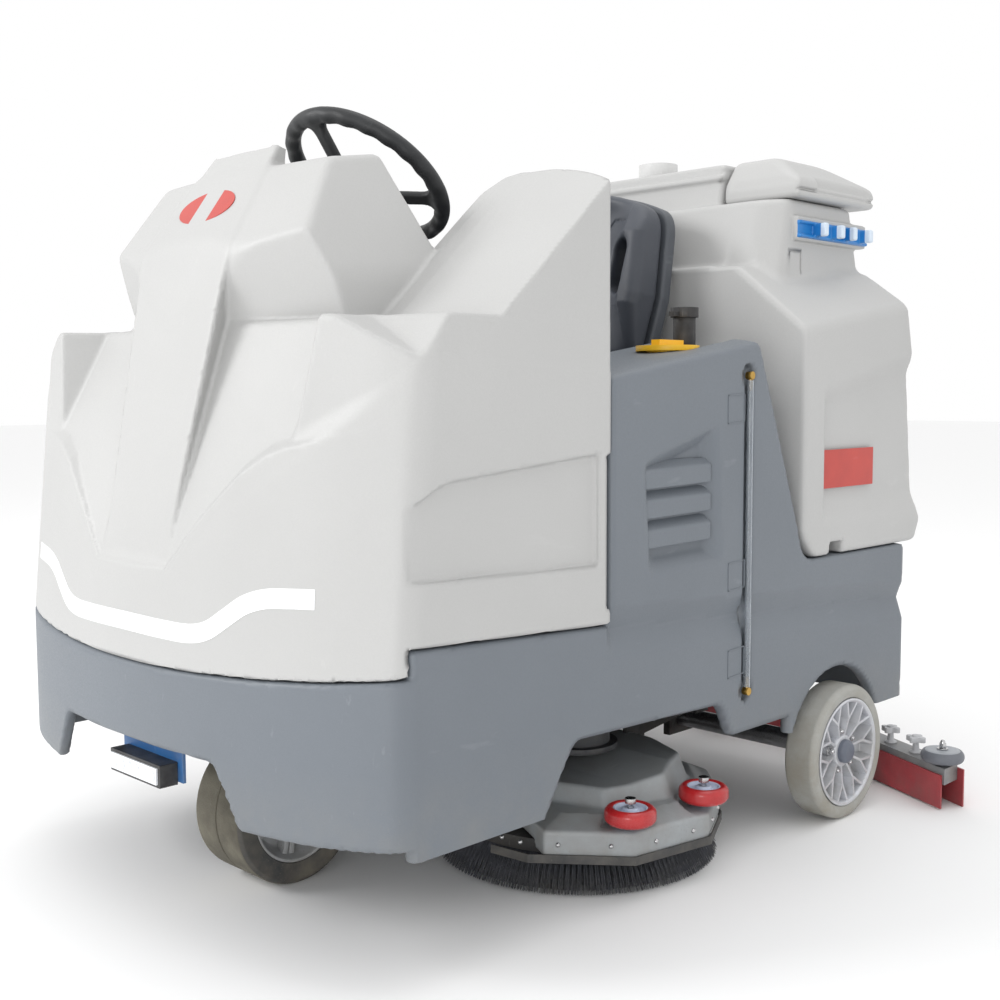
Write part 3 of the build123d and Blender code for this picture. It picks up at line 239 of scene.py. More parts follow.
def shader_group(name, inputs, outputs):
    """An empty shader group with its sockets: (tree, input node, output node)."""
    tree = bpy.data.node_groups.new(name, "ShaderNodeTree")
    for label, kind in inputs:
        tree.interface.new_socket(label, in_out="INPUT", socket_type="NodeSocket" + kind)
    for label in outputs:
        tree.interface.new_socket(label, in_out="OUTPUT", socket_type="NodeSocketFloat")
    return tree, tree.nodes.new("NodeGroupInput").outputs, tree.nodes.new("NodeGroupOutput").inputs


def noise(tree, vector, scale, detail=2.0, rough=0.5):
    return add(tree, "ShaderNodeTexNoise", {"Vector": vector, "Scale": scale, "Detail": detail,
                                            "Roughness": rough}).outputs["Fac"]


def spread(tree, value, low, high, to_low=0.0, to_high=1.0):
    return add(tree, "ShaderNodeMapRange",
               {"Value": value, "From Min": low, "From Max": high, "To Min": to_low,
                "To Max": to_high}).outputs["Result"]


def math_node(tree, operation, a, b):
    return add(tree, "ShaderNodeMath", {0: a, 1: b}, operation=operation).outputs[0]


def surface_group():
    """Colour drift, fine grain and sparse scuffs, with a height for bump."""
    tree, given, made = shader_group("surface_grain",
                                     [("Place", "Vector"), ("Patch", "Float"), ("Fine", "Float")],
                                     ["Drift", "Grain", "Scuff", "Height"])
    drift = spread(tree, noise(tree, given["Place"], given["Patch"], 4.0, 0.6), 0.32, 0.68)
    grain = noise(tree, given["Place"], given["Fine"], 3.0, 0.6)
    long = add(tree, "ShaderNodeVectorMath", {0: given["Place"], 1: (60.0, 6.0, 22.0)},
               operation="MULTIPLY").outputs[0]
    scuff = spread(tree, noise(tree, long, 1.0, 3.0, 0.7), 0.66, 0.74)
    height = math_node(tree, "SUBTRACT", grain, math_node(tree, "MULTIPLY", scuff, 0.5))
    for label, value in (("Drift", drift), ("Grain", grain), ("Scuff", scuff), ("Height", height)):
        tree.links.new(value, made[label])
    return tree


def pebble_group():
    """The pebbled skin of moulded foam and rubber."""
    tree, given, made = shader_group("pebbled_skin", [("Place", "Vector"), ("Fine", "Float")],
                                     ["Cells", "Height"])
    cells = add(tree, "ShaderNodeTexVoronoi",
                {"Vector": given["Place"], "Scale": given["Fine"], "Smoothness": 0.6},
                feature="SMOOTH_F1").outputs["Distance"]
    fine = noise(tree, given["Place"], 1600.0, 2.0)
    tree.links.new(spread(tree, cells, 0.1, 0.7), made["Cells"])
    tree.links.new(math_node(tree, "ADD", math_node(tree, "MULTIPLY", cells, -1.0),
                             math_node(tree, "MULTIPLY", fine, 0.25)), made["Height"])
    return tree


def dust_group():
    """Dust and splashes that thicken towards the floor."""
    tree, given, made = shader_group("floor_dust", [("Place", "Vector"), ("Top", "Float")], ["Dust"])
    z = add(tree, "ShaderNodeSeparateXYZ", {0: given["Place"]}).outputs["Z"]
    low = spread(tree, z, given["Top"], 0.0)
    cloud = spread(tree, noise(tree, given["Place"], 14.0, 6.0, 0.65), 0.35, 0.75)
    speck = spread(tree, noise(tree, given["Place"], 260.0, 2.0, 0.6), 0.60, 0.72)
    both = math_node(tree, "MAXIMUM", cloud, math_node(tree, "MULTIPLY", speck, 0.8))
    tree.links.new(math_node(tree, "MULTIPLY", low, both), made["Dust"])
    return tree


def edge_group():
    """Rubbed convex edges."""
    tree, given, made = shader_group("edge_rub", [("Place", "Vector")], ["Rub"])
    bend = add(tree, "ShaderNodeNewGeometry").outputs["Pointiness"]
    edge = spread(tree, bend, 0.52, 0.62)
    tree.links.new(math_node(tree, "MULTIPLY", edge,
                             spread(tree, noise(tree, given["Place"], 40.0, 4.0), 0.35, 0.65)), made["Rub"])
    return tree


def streak_group():
    """Turned or rolled lines in metal."""
    tree, given, made = shader_group("metal_streaks", [("Place", "Vector")], ["Streak"])
    long = add(tree, "ShaderNodeVectorMath", {0: given["Place"], 1: (900.0, 25.0, 900.0)},
               operation="MULTIPLY").outputs[0]
    tree.links.new(noise(tree, long, 1.0, 2.0), made["Streak"])
    return tree


SURFACE, PEBBLE, DUST = surface_group(), pebble_group(), dust_group()
EDGE, STREAK = edge_group(), streak_group()


def blend_colour(tree, factor, a, b):
    node = add(tree, "ShaderNodeMix", data_type="RGBA")
    tree.links.new(factor, node.inputs[0])
    for socket, value in ((node.inputs[6], a), (node.inputs[7], b)):
        if isinstance(value, bpy.types.NodeSocket):
            tree.links.new(value, socket)
        else:
            socket.default_value = value
    return node.outputs[2]


def effect(tree, group, place, **amounts):
    """The outputs of a shader group that works at a place, with its own amounts."""
    return add(tree, "ShaderNodeGroup", {"Place": place, **amounts}, node_tree=group).outputs


def finish(name, colour, drift, rough, patch=3.0, fine=900.0, bump=0.0002, metal=0.0, coat=0.0, pebble=0.0,
           dust=None, dust_top=0.45, rub=None, streaks=False, scuffs=0.35, **direct):
    """A material. rough is the range of roughness, and bump the depth of the grain in metres."""
    material = bpy.data.materials.new(name)
    material.use_nodes = True
    tree = material.node_tree
    shader = next(n for n in tree.nodes if n.type == "BSDF_PRINCIPLED")
    place = add(tree, "ShaderNodeTexCoord").outputs["Object"]
    skin = effect(tree, SURFACE, place, Patch=patch, Fine=fine)
    paint = blend_colour(tree, skin["Drift"], colour, drift)
    speckle = spread(tree, skin["Grain"], 0.3, 0.7)
    darker = tuple(c * 0.86 for c in colour[:3]) + (1.0,)
    paint = blend_colour(tree, math_node(tree, "MULTIPLY", speckle, 0.35), paint, darker)
    height = skin["Height"]
    roughness = spread(tree, skin["Grain"], 0.3, 0.7, *rough)
    if scuffs:
        lighter = tuple(c + (1 - c) * 0.22 for c in colour[:3]) + (1.0,)
        paint = blend_colour(tree, math_node(tree, "MULTIPLY", skin["Scuff"], scuffs), paint, lighter)
    if pebble:
        cells = effect(tree, PEBBLE, place, Fine=pebble)
        height = cells["Height"]
        paint = blend_colour(tree, math_node(tree, "MULTIPLY", cells["Cells"], 0.45), paint, darker)
    if streaks:
        height = effect(tree, STREAK, place)["Streak"]
        roughness = spread(tree, height, 0.3, 0.7, *rough)
    if rub:
        paint = blend_colour(tree, effect(tree, EDGE, place)["Rub"], paint, rub)
    if dust:
        paint = blend_colour(tree, effect(tree, DUST, place, Top=dust_top)["Dust"], paint, dust)
    tree.links.new(paint, shader.inputs["Base Color"])
    tree.links.new(roughness, shader.inputs["Roughness"])
    relief = add(tree, "ShaderNodeBump", {"Strength": 0.6, "Distance": bump, "Height": height})
    tree.links.new(relief.outputs["Normal"], shader.inputs["Normal"])
    shader.inputs["Metallic"].default_value = metal
    shader.inputs["Coat Weight"].default_value = coat
    for key, value in direct.items():
        shader.inputs[key.replace("_", " ")].default_value = value
    return material


def dress(obj, *materials):
    """Gives an object its materials and keeps which face has which."""
    index = np.zeros(len(obj.data.polygons), np.int32)
    obj.data.polygons.foreach_get("material_index", index)
    obj.data.materials.clear()
    for material in materials:
        obj.data.materials.append(material)
    obj.data.polygons.foreach_set("material_index", index)


def dress_node(material, *names, edge=0.0):
    """Gives CAD nodes their material, and softens their edges by edge metres."""
    for name in names:
        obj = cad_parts[name]
        for slot in obj.material_slots:
            slot.material = material
        if edge:
            weld = obj.modifiers.new("weld", "WELD")
            weld.merge_threshold = 0.00002
            soft = obj.modifiers.new("edges", "BEVEL")
            soft.width, soft.segments, soft.angle_limit = edge, 2, math.radians(35)
            soft.harden_normals = True


LIGHT_GREY = finish("light_grey_polyethylene", shade(186, 186, 185), shade(180, 180, 179), (0.42, 0.56),
                    patch=1.6, fine=420.0, bump=0.00025, dust=shade(176, 172, 164), dust_top=0.25,
                    scuffs=0.12)

NOSE_Y = -835.0
NOSE_PLAN = (87.6, 1.2, 30.3)
NOSE_LEAN = 0.0986
SIDE = 530.0
CROWN_Z = 940.0
COWL_REAR = -289.0


def nose_line(x, z, lean=NOSE_LEAN):
    """How far forward the bowed nose comes at a place across the machine."""
    s = (x / SIDE) ** 2
    return NOSE_Y + NOSE_PLAN[0] * s + NOSE_PLAN[1] * s ** 2 + NOSE_PLAN[2] * s ** 4 + (z - 430) * lean


def seam_height(a):
    """Height of the seam between cowl and base: lowest at the middle of the nose."""
    return 420 + 28 * (a / SIDE) ** 2


FENDER = face((348, -752, 765), (500, -706, 800), (373, -736, 897), (400, 0, 500))
WING_TOP = face((528, -730, 880), (423, -733, 930), (530, -289, 862), (300, -400, 0))
WING_INSIDE = face((346, -758, 765), (371, -742, 897), (300, -600, 930), (500, -600, 700))
RIDGE_FRONT = face((99, -821, 572), (-99, -821, 572), (136, -719, 1047), (0, 0, 500))
RIDGE_SIDE = face((99, -821, 572), (136, -719, 1047), (96, -690, 940), (0, -700, 800))
BADGE_TILT = math.radians(54.3)
BADGE_Y, BADGE_Z, BADGE_CROWN = -664.0, 1127.0, 0.00043
BUMPER_TOP = ((0, 102, 171, 255, 304, 343, 364, 412, 456, 530),
              (566, 569, 642, 715, 743, 756, 759, 772, 782, 800))
SET_BACK = 7.0


def valley(a, y, z):
    """The twisted hollow on each side of the ridge."""
    return (-928 + SET_BACK - 0.7121 * a + 0.2205 * z + 0.000929 * a * z - y) * 0.9


def nose_part(x, y, z):
    """Bumper with a bevelled top edge, valleys beside the ridge, and the wings."""
    a = np.abs(x)
    bumper = smax((nose_line(x, z) - y) * 0.95, a - SIDE, 26)
    over = z - np.interp(a, *BUMPER_TOP)
    bevel = (over + (nose_line(x, z) - y)) * 0.62
    low = meet(3, bumper, bevel)
    hollow = meet(8, bumper, valley(a, y, z), z - CROWN_Z)
    top = smax(beyond(WING_TOP, a, y, z), z - CROWN_Z, 6)
    wing = meet(7, bumper, beyond(FENDER, a, y, z), top, beyond(WING_INSIDE, a, y, z))
    body = smax(smin(low, smin(hollow, wing, 7), 2), y - COWL_REAR, 9)
    return smax(body, seam_height(a) + 2 - z, 4)


def badge_face(a, y, z):
    """The sloped, slightly crowned face that carries the badge."""
    return -math.sin(BADGE_TILT) * (y - BADGE_Y - a * a * BADGE_CROWN) + math.cos(BADGE_TILT) * (z - BADGE_Z)


def ridge_part(x, y, z):
    """The raised rib down the middle of the nose."""
    a = np.abs(x)
    front = smax(beyond(RIDGE_FRONT, a, y, z) + SET_BACK, badge_face(a, y, z), 6)
    return meet(9, front, beyond(RIDGE_SIDE, a, y, z), 540 - z, y + 560,
                (nose_line(x, z) + SET_BACK - y) * 0.95)


HEAD_UNDER = face((136, -719, 1047), (271, -674, 1069), (292, -641, 992), (0, -500, 1100))
HEAD_SIDE = face((300, -640, 990), (300, -409, 1015), (302, -440, 900), (0, -500, 1000))
HEAD_CHEEK = face((300, -409, 1015), (250, -471, 1150), (262, -660, 1110), (0, -500, 1000))
HEAD_TOP = face((0, -610, 1188), (100, -610, 1187), (0, -480, 1209), (0, -500, 900))
HEAD_REAR = face((0, -409, 1015), (100, -409, 1015), (0, -471, 1150), (0, -600, 1050))


def head_part(x, y, z):
    """The head over the footwell, with an overhanging lip at the front."""
    a = np.abs(x)
    rear = smax(beyond(HEAD_REAR, a, y, z), y + 409 + (1015 - z) * 0.486, 20)
    upper = meet(10, badge_face(a, y, z), beyond(HEAD_TOP, a, y, z), beyond(HEAD_CHEEK, a, y, z), rear)
    lower = meet(8, beyond(HEAD_SIDE, a, y, z), beyond(HEAD_UNDER, a, y, z), 780 - z,
                 beyond(RIDGE_FRONT, a, y, z) + SET_BACK + 3)
    return smax(upper, lower, 7)


DASH_Y, DASH_Z = -440.0, 1082.5
DASH_TILT = math.atan2(62.0, 135.0)
DASH_HALF_W, DASH_HALF_H = 142, 54


def dash_cut(x, y, z):
    """The opening for the dash plate."""
    dy, dz = y - DASH_Y, z - DASH_Z
    out = dy * math.cos(DASH_TILT) + dz * math.sin(DASH_TILT)
    along = -dy * math.sin(DASH_TILT) + dz * math.cos(DASH_TILT)
    return block(x, along, out, -DASH_HALF_W, DASH_HALF_W, -DASH_HALF_H, DASH_HALF_H, -40, 60, 8)


def side_recess(points, depth, x, y, z, r, edge=10):
    """A shallow recess in a flat side, outlined in Y and Z."""
    return smax(convex_sheet(points, y, z, edge), SIDE - depth - x, r)


WING_RECESS = [(-702, 674), (-640, 708), (-318, 736), (-318, 563), (-700, 577)]


def cowl_field(x, y, z):
    """The cowl less its side recesses, lower ledges, footwell, step-in opening and dash plate."""
    shape = smin(nose_part(x, y, z), ridge_part(x, y, z), 10)
    shape = smin(shape, head_part(x, y, z), 9)
    for sign in (1, -1):
        shape = smax(shape, -side_recess(WING_RECESS, 9, sign * x, y, z, 5), 6)
        ledge_cut = meet(5, 345 - sign * x, -703 - y, z - (489 - (y + 701) * 0.0476))
        gap = block(sign * x, y, z, 480, 600, -300, -250, 494, 735, 5)
        shape = smax(shape, -np.minimum(ledge_cut, gap), 4)
    well = block(x, y, z, -330, 330, -478, -200, 380, 943, 12)
    step = block(x, y, z, -700, -290, -472, -200, 380, 1100, 10)
    return meet(8, shape, -well, -step, -dash_cut(x, y, z))


cowl = moulding("front_cowl_shell", cowl_field, (-545, -850, 420), (545, -275, 1225), 7, 11)
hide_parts("front_cowl")
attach(cowl, "chassis")
dress(cowl, LIGHT_GREY)


# White reflective film round the nose, stepped up at both ends, with soft bends.
def smooth_path(points, steps=12):
    """Points along a curve through the given points (Catmull-Rom)."""
    pts = [np.array(p, float) for p in points]
    pts = [2 * pts[0] - pts[1]] + pts + [2 * pts[-1] - pts[-2]]
    out = []
    for i in range(1, len(pts) - 2):
        a, b, c, d = pts[i - 1:i + 3]
        for k in range(steps):
            t = k / steps
            out.append(0.5 * (2 * b + (c - a) * t + (2 * a - 5 * b + 4 * c - d) * t * t
                              + (3 * b - a - 3 * c + d) * t ** 3))
    out.append(pts[-2])
    return out


def plain_object(name, points, faces, smooth=True):
    """A mesh object from points in millimetres."""
    mesh = bpy.data.meshes.new(name)
    mesh.from_pydata([tuple(float(c) / 1000 for c in p) for p in points], [], faces)
    mesh.polygons.foreach_set("use_smooth", [smooth] * len(mesh.polygons))
    mesh.validate()
    return placed(name, mesh)


STRIP_HALF = [(0, 481), (110, 480), (172, 481), (212, 490), (248, 511), (284, 533), (322, 545), (365, 549),
              (407, 551)]
STRIP_H = 28.0
STRIP_SUNK, STRIP_PROUD = 0.1, 1.4
path = smooth_path([(-x, z) for x, z in reversed(STRIP_HALF[1:])] + STRIP_HALF)
rows = []
for i, (x, z) in enumerate(path):
    before, after = path[max(i - 1, 0)], path[min(i + 1, len(path) - 1)]
    along = np.array([after[0] - before[0], after[1] - before[1]])
    along /= np.linalg.norm(along)
    ring = []
    for across, lift in ((-0.5, STRIP_SUNK), (-0.5, STRIP_PROUD), (0.5, STRIP_PROUD), (0.5, STRIP_SUNK)):
        px, pz = x - along[1] * across * STRIP_H, z + along[0] * across * STRIP_H
        ring.append((px, float(nose_line(px, pz)) - lift, pz))
    rows.append(ring)
points = [p for ring in rows for p in ring]
faces = []
for i in range(len(rows) - 1):
    for k in range(4):
        faces.append((4 * i + k, 4 * i + (k + 1) % 4, 4 * i + 4 + (k + 1) % 4, 4 * i + 4 + k))
faces += [(3, 2, 1, 0), tuple(4 * len(rows) - 4 + k for k in range(4))]
strip = plain_object("reflective_strip", points, faces, smooth=False)
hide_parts("cowl_strip")
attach(strip, "chassis")
dress(strip,
      finish("white_film", shade(250, 250, 250), shade(240, 242, 244), (0.3, 0.45), patch=10.0, fine=1600.0,
             bump=0.00003, coat=0.2, scuffs=0.1))


# ------------------------------------------------------------ base tank
# The blue-grey solution tank is the machine's lower body: a rotomoulded skirt with a column
# each side of the battery bay. It has a louvred recess, a level-tube groove and a filler tray.
COLUMN_SIDE = [(-287, 380), (-287, 862), (122, 926), (166, 815), (236, 630), (264, 560), (268, 380)]
COLUMN_CHEEK = face((530, -287, 853), (530, 122, 918), (434, -287, 879), (300, 0, 500))
COLUMN_TOP = face((434, -287, 879), (434, 122, 944), (300, -287, 881), (300, 0, 500))
LOUVRE = [(-207, 720), (-10, 774), (6, 542), (-192, 537)]
LOUVRE_SLATS = ((692, 16), (643, 15), (594, 15))
LEVEL_MARKS = ((44, 801), (49, 511), (51, 357))
MARK_LEAN = 0.055
TUBE_Y, TUBE_TOP, TUBE_FOOT = 83.0, 858.0, 302.0
BASE_REAR = 655.0
REAR_AXLE_Y, REAR_AXLE_Z, REAR_ARCH_R = 395.0, 133.0, 162.0


def belt(y, z):
    """Depth of the sloped groove that runs back along the side, under the tanks."""
    over = z - (461 - (y + 292) * 0.0624)
    return 14 * np.clip(np.minimum(1 - over / 37.0, 1 + over / 43.0), 0, 1) * np.clip((y + 296) / 14.0, 0, 1)


def keyhole(sign, x, y, z):
    """The groove for the level tube, with a round pocket at each end."""
    a = sign * x
    across = y - TUBE_Y
    strip_cut = meet(4, np.abs(across) - 8, z - 850, 312 - z)
    nearest = np.minimum(np.abs(z - TUBE_TOP), np.abs(z - TUBE_FOOT))
    pockets = np.hypot(across, nearest * 0.75) - 15
    return smax(smin(strip_cut, pockets, 4), SIDE - 15 - a, 4)


def base_field(x, y, z):
    """The skirt, ledge, columns and rear, less the cavity, arches, battery bay, louvres and trays."""
    a = np.abs(x)
    wide = SIDE - belt(y, z)
    outline = smax(nose_line(x, 430, 0) - y, a - wide, 26)
    bottom = 203 + np.clip((y - NOSE_Y) / 417.0, 0, 1) * 22 - z
    seam = np.where(y < -200, seam_height(a), 440)
    skirt = meet(8, y - BASE_REAR, z - seam, bottom)
    ledge = meet(5, 338 - a, -700 - y, y + 270, z - (486 - (y + 701) * 0.0476))
    column = meet(10, convex_sheet(COLUMN_SIDE, y, z, 16), beyond(COLUMN_CHEEK, a, y, z),
                  beyond(COLUMN_TOP, a, y, z), 300 - a)
    rear = meet(10, y - BASE_REAR, z - 515, 226 - y)
    shape = smax(smin(smin(skirt, ledge, 4), smin(column, rear, 46), 4), outline, 9)
    cavity = meet(20, nose_line(x, 430, 0) + 20 - y, a - 508, y - 634, z - 408)
    deck_arch = meet(18, -418 + (228 - z) * -0.62 - y + 2, y - 10 - (288 - z) * 0.5,
                     z - (299 - (y + 374) * 0.029))
    wheel_arch = np.hypot(y - REAR_AXLE_Y, z - REAR_AXLE_Z) - REAR_ARCH_R
    nose_arch = meet(14, a - 222 - (295 - z) * 0.56, z - 296, y + 640)
    notch = block(x, y, z, -90, 90, 600, 700, 100, 262, 8)
    bay = block(x, y, z, -300, 300, -200, 232, 300, 1300, 8)
    aisle = block(x, y, z, -300, 300, -500, -208, 431, 1300, 8)
    step = block(x, y, z, -700, -290, -436, -200, 430, 1300, 8)
    shape = meet(7, shape, -cavity, -deck_arch, -wheel_arch, -nose_arch, -notch, -bay, -aisle, -step)
    for sign in (1, -1):
        out = sign * x - SIDE
        recess = meet(4, -22 - out, (convex_sheet(LOUVRE, y, z, 14) * 0.85 - out) * 0.76)
        tray = meet(10, 386 - sign * x, sign * x - 474, -84 - y, y - 112 - (z - 900) * 0.3, 903 - z)
        shape = smax(smax(shape, -recess, 3), -tray, 6)
        shape = smax(shape, -keyhole(sign, x, y, z), 4)
    return shape


base = moulding("base_tank_shell", base_field, (-545, -850, 190), (545, 668, 965), 8.6, 13)
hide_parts("base_tank")
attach(base, "chassis")
BLUE_GREY = finish("blue_grey_polyethylene", shade(114, 120, 127), shade(107, 113, 120), (0.4, 0.54),
                   patch=1.8, fine=380.0, bump=0.0003, dust=shade(134, 132, 126), dust_top=0.32, scuffs=0.16)
dress(base, BLUE_GREY)


def slat_field(x, y, z):
    """Three slats that stand in the louvre recess: bevelled above and square below."""
    out = np.abs(x) - SIDE
    slats = None
    for middle, half in LOUVRE_SLATS:
        line = z - middle - (y + 100) * 0.02
        slat = meet(2.5, out + 5, -34 - out, -half - line, (line - half + 6 + out * 0.9) * 0.74, y + 20,
                    -212 - y)
        slats = slat if slats is None else np.minimum(slats, slat)
    return slats


for sign, side in ((1, "left"), (-1, "right")):
    low, high = sorted((sign * 490, sign * 532))
    slats = moulding("louvre_slats_" + side, slat_field, (low, -218, 570), (high, -12, 718), 3, 4)
    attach(slats, "chassis")
    dress(slats, BLUE_GREY)

# Square frames moulded round the level marks, each of four thin bars.
MARK_BARS = ((0, 24, 25, 0.9), (0, -24, 25, 0.9), (24, 0, 0.9, 25), (-24, 0, 0.9, 25))
BAR_FACES = [(0, 3, 2, 1), (4, 5, 6, 7), (0, 1, 5, 4), (1, 2, 6, 5), (2, 3, 7, 6), (3, 0, 4, 7)]
frames = []
for sign in (1, -1):
    for y, z in LEVEL_MARKS:
        for dy, dz, half_y, half_z in MARK_BARS:
            corners = [(sign * (SIDE - 1.5 + h), y + dy + a * half_y,
                        z + dz + MARK_LEAN * dy + b * half_z + a * half_y * MARK_LEAN)
                       for h in (0, 2.6) for a, b in ((-1, -1), (1, -1), (1, 1), (-1, 1))]
            frames.append((corners, BAR_FACES))
points = [p for corners, _ in frames for p in corners]
faces = [tuple((f if corners[0][0] > 0 else f[::-1])) for corners, fs in frames for f in fs]
faces = [tuple(i + 8 * (n // 6) for i in f) for n, f in enumerate(faces)]
level_frames = plain_object("level_mark_frames", points, faces, smooth=False)
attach(level_frames, "chassis")
dress(level_frames, BLUE_GREY)


# ------------------------------------------------------------ recovery tank
# The light-grey recovery tank saddles the rear of the base. The lower half is as wide as the
# base, the upper half is narrower, and a raised block in the middle covers the suction motor.
TANK_SHOULDER = face((530, 125, 922), (530, 655, 1004), (424, 300, 1034), (0, 400, 800))
TANK_CORNER = face((424, 331, 1000), (424, 380, 1204), (300, 250, 1000), (0, 500, 1100))
TANK_REAR, TANK_FOOT = 722.0, 517.0
UPPER_HALF_W, UPPER_TOP = 424.0, 1204.0
HUMP_LEFT, HUMP_RIGHT, HUMP_TOP = 256.0, 412.0, 1291.0


def tank_field(x, y, z):
    """The wide lower half, the narrow upper half and the raised block, with their recesses."""
    a = np.abs(x)
    rear_wall = (y - TANK_REAR + np.clip((z - 562) / 288.0, 0, 1) * 32 + np.clip(z - 850, 0, 400) * 0.24
                 + np.clip(562 - z, 0, 60) * 0.5)
    front_edge = np.maximum.reduce([127 + (922 - z) * 0.40 - y, 240 + (630 - z) * 0.38 - y,
                                    268 + np.clip(560 - z, 0, 60) * 0.9 - y])
    lower = meet(12, front_edge, rear_wall, a - SIDE, TANK_FOOT - z, beyond(TANK_SHOULDER, a, y, z), z - 1075)
    upper = meet(14, beyond(TANK_CORNER, a, y, z), 296 + (z - 1000) * 0.25 - y, rear_wall,
                 a - UPPER_HALF_W + (z - 1000) * 0.02, z - UPPER_TOP, 900 - z)
    hump = meet(12, 372 + (z - 1160) * 0.15 - y, y - 640 + (z - UPPER_TOP) * 0.1, x - HUMP_LEFT,
                -x - HUMP_RIGHT, z - HUMP_TOP, 1100 - z)
    rim = meet(5, 366 + (z - 1160) * 0.15 - y, y - 646, x - HUMP_LEFT - 2, -x - HUMP_RIGHT - 6,
               np.abs(z - 1262) - 7)
    shape = smin(smin(lower, upper, 14), smin(hump, rim, 4), 8)
    shape = smax(shape, (246 - y - np.clip(a - 297, 0, 300) * 3) * 0.3, 8)
    for sign in (1, -1):
        out = sign * x - SIDE
        wall = meet(10, (z - 835 - (y - 348) * 0.206) * 0.52, (587 - (y - 337) * 0.05 - z) * 0.42,
                    (336 - y) * 1.2)
        shape = smax(shape, -meet(5, -20 - out, wall - out), 7)
        hollow = meet(10, np.abs(sign * x - 345) - 28, np.abs(z - 1118) - 45, y - 322)
        shape = smax(shape, -hollow, 10)
        notch = meet(5, sign * -x + 480, np.abs(y - 384) - 24, z - 541)
        shape = smax(shape, -notch, 5)
    rail_seat = meet(5, UPPER_HALF_W - 12 - x, x - 433, 384 - y, y - 645, np.abs(z - 1147) - 24)
    shape = smin(shape, rail_seat, 5)
    square = np.maximum(np.abs(y - 392) - 22, np.abs(z - 1079) - 24)
    mark = smax(np.abs(square) - 1.8, np.abs(x - 422.5) - 3, 1)
    return np.minimum(shape, mark)


tank = moulding("recovery_tank_shell", tank_field, (-545, 100, 505), (545, 735, 1300), 7, 12)
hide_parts("recovery_tank")
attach(tank, "chassis")
dress(tank, LIGHT_GREY)


# The hinged lid over the tank mouth: thick, crowned, with a sunk cheek on its outer side.
def lid_field(x, y, z):
    """A crowned lid with a sunk cheek and a thin lip along its foot."""
    crown = meet(16, z - 1296, (z - 1262) * 0.80 + (x - 408) * 0.60, (z - 1272) * 0.93 + (y - 640) * 0.36,
                 (z - 1262) * 0.6 - (y - 396) * 0.8)
    shell = meet(10, crown, 262 - x, x - 437, 381 - y, y - 671, 1206 - z)
    cheek = meet(8, 452 - y, y - 655, 1226 - z, z - 1258, 428 - x)
    lip = meet(3, 1219 - z, z - 1225, 430 - x)
    return smax(smax(shell, -cheek, 8), -smax(lip, -meet(3, x - 433, 1), 2), 3)


lid = moulding("recovery_lid_shell", lid_field, (250, 370, 1195), (450, 685, 1305), 5, 8)
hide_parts("recovery_lid")
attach(lid, "recovery_lid")
dress(lid, LIGHT_GREY)


# ------------------------------------------------------------ seat
# A moulded polyurethane driver's seat: skin and foam in one, with bolsters, two grab holes and
# pressed seam lines. A hard shell closes its back, and a hood over the batteries carries it.
RECLINE = math.radians(8.0)
BACK_Y, BACK_Z = 145.0, 900.0


def leaned(y, z):
    """Coordinates along the leaning backrest: out to the rear, and up."""
    dy, dz = y - BACK_Y, z - BACK_Z
    return dy * math.cos(RECLINE) - dz * math.sin(RECLINE), dy * math.sin(RECLINE) + dz * math.cos(RECLINE)


def back_sheet(x, s, grow):
    """Front outline of the backrest: narrow at the waist, widest at the grab holes."""
    a = np.abs(x)
    top = np.hypot(x * 0.62, s - 118) - 222 - grow
    waist = a - 236 - grow + np.clip(120 - s, 0, 200) * 0.20
    return meet(30, top, waist, -s - 8 - grow)


def polyline_distance(points, a, b):
    """Distance in a plane to a broken line."""
    out = None
    for (ax, ay), (bx, by) in zip(points[:-1], points[1:]):
        dx, dy = bx - ax, by - ay
        t = np.clip(((a - ax) * dx + (b - ay) * dy) / (dx * dx + dy * dy), 0, 1)
        d = np.hypot(a - ax - t * dx, b - ay - t * dy)
        out = d if out is None else np.minimum(out, d)
    return out


HOLE_X, HOLE_S, HOLE_HALF, HOLE_R = 166.0, 178.0, 28.0, 22.0


def slot_hole(a, s, grow):
    """Outline of a grab hole."""
    over = s - HOLE_S
    lean = np.clip(over, -HOLE_HALF, HOLE_HALF) * 0.16
    return np.hypot(a - HOLE_X - lean, np.maximum(np.abs(over) - HOLE_HALF, 0)) - HOLE_R - grow


SEAM_W = 2.6
SEAMS = [[(-92, 312), (92, 312), (92, 300)], [(-92, 312), (-84, 284), (84, 284), (92, 312)],
         [(-176, 268), (-140, 272), (-118, 250), (-104, 196), (-50, 208), (0, 212), (50, 208), (104, 196),
          (118, 250), (140, 272), (176, 268)],
         [(-88, 174), (-40, 184), (0, 187), (40, 184), (88, 174), (84, 60), (40, 68), (0, 70), (-40, 68),
          (-84, 60), (-88, 174)], [(-70, 36), (-30, 46), (0, 48), (30, 46), (70, 36)]]


def back_pad_field(x, y, z):
    """Bolstered backrest with a head roll, pressed seams and two dished grab holes."""
    out, s = leaned(y, z)
    a = np.abs(x)
    bolster = 40 * np.clip((a - 118) / 78.0, 0, 1) ** 2
    bolster = bolster * np.clip((s - 10) / 90.0, 0, 1) * np.clip((330 - s) / 90.0, 0, 1)
    roll = 16 * np.exp(-np.square((s - 325) / 26.0))
    groove = sum(3.4 * np.exp(-np.square(polyline_distance(seam, x, s) / SEAM_W)) for seam in SEAMS)
    puff = 5 * np.exp(-np.square(x / 80.0)) * np.exp(-np.square((s - 115) / 60.0))
    front = -out + 4 - bolster - roll - puff + groove
    pad = meet(26, back_sheet(x, s, -1), front, out - 46)
    dish = slot_hole(a, s, 14 - np.clip(out + 40, 0, 60) * 0.35)
    return meet(10, pad, -slot_hole(a, s, 0), -smax(dish, out - 24, 8))


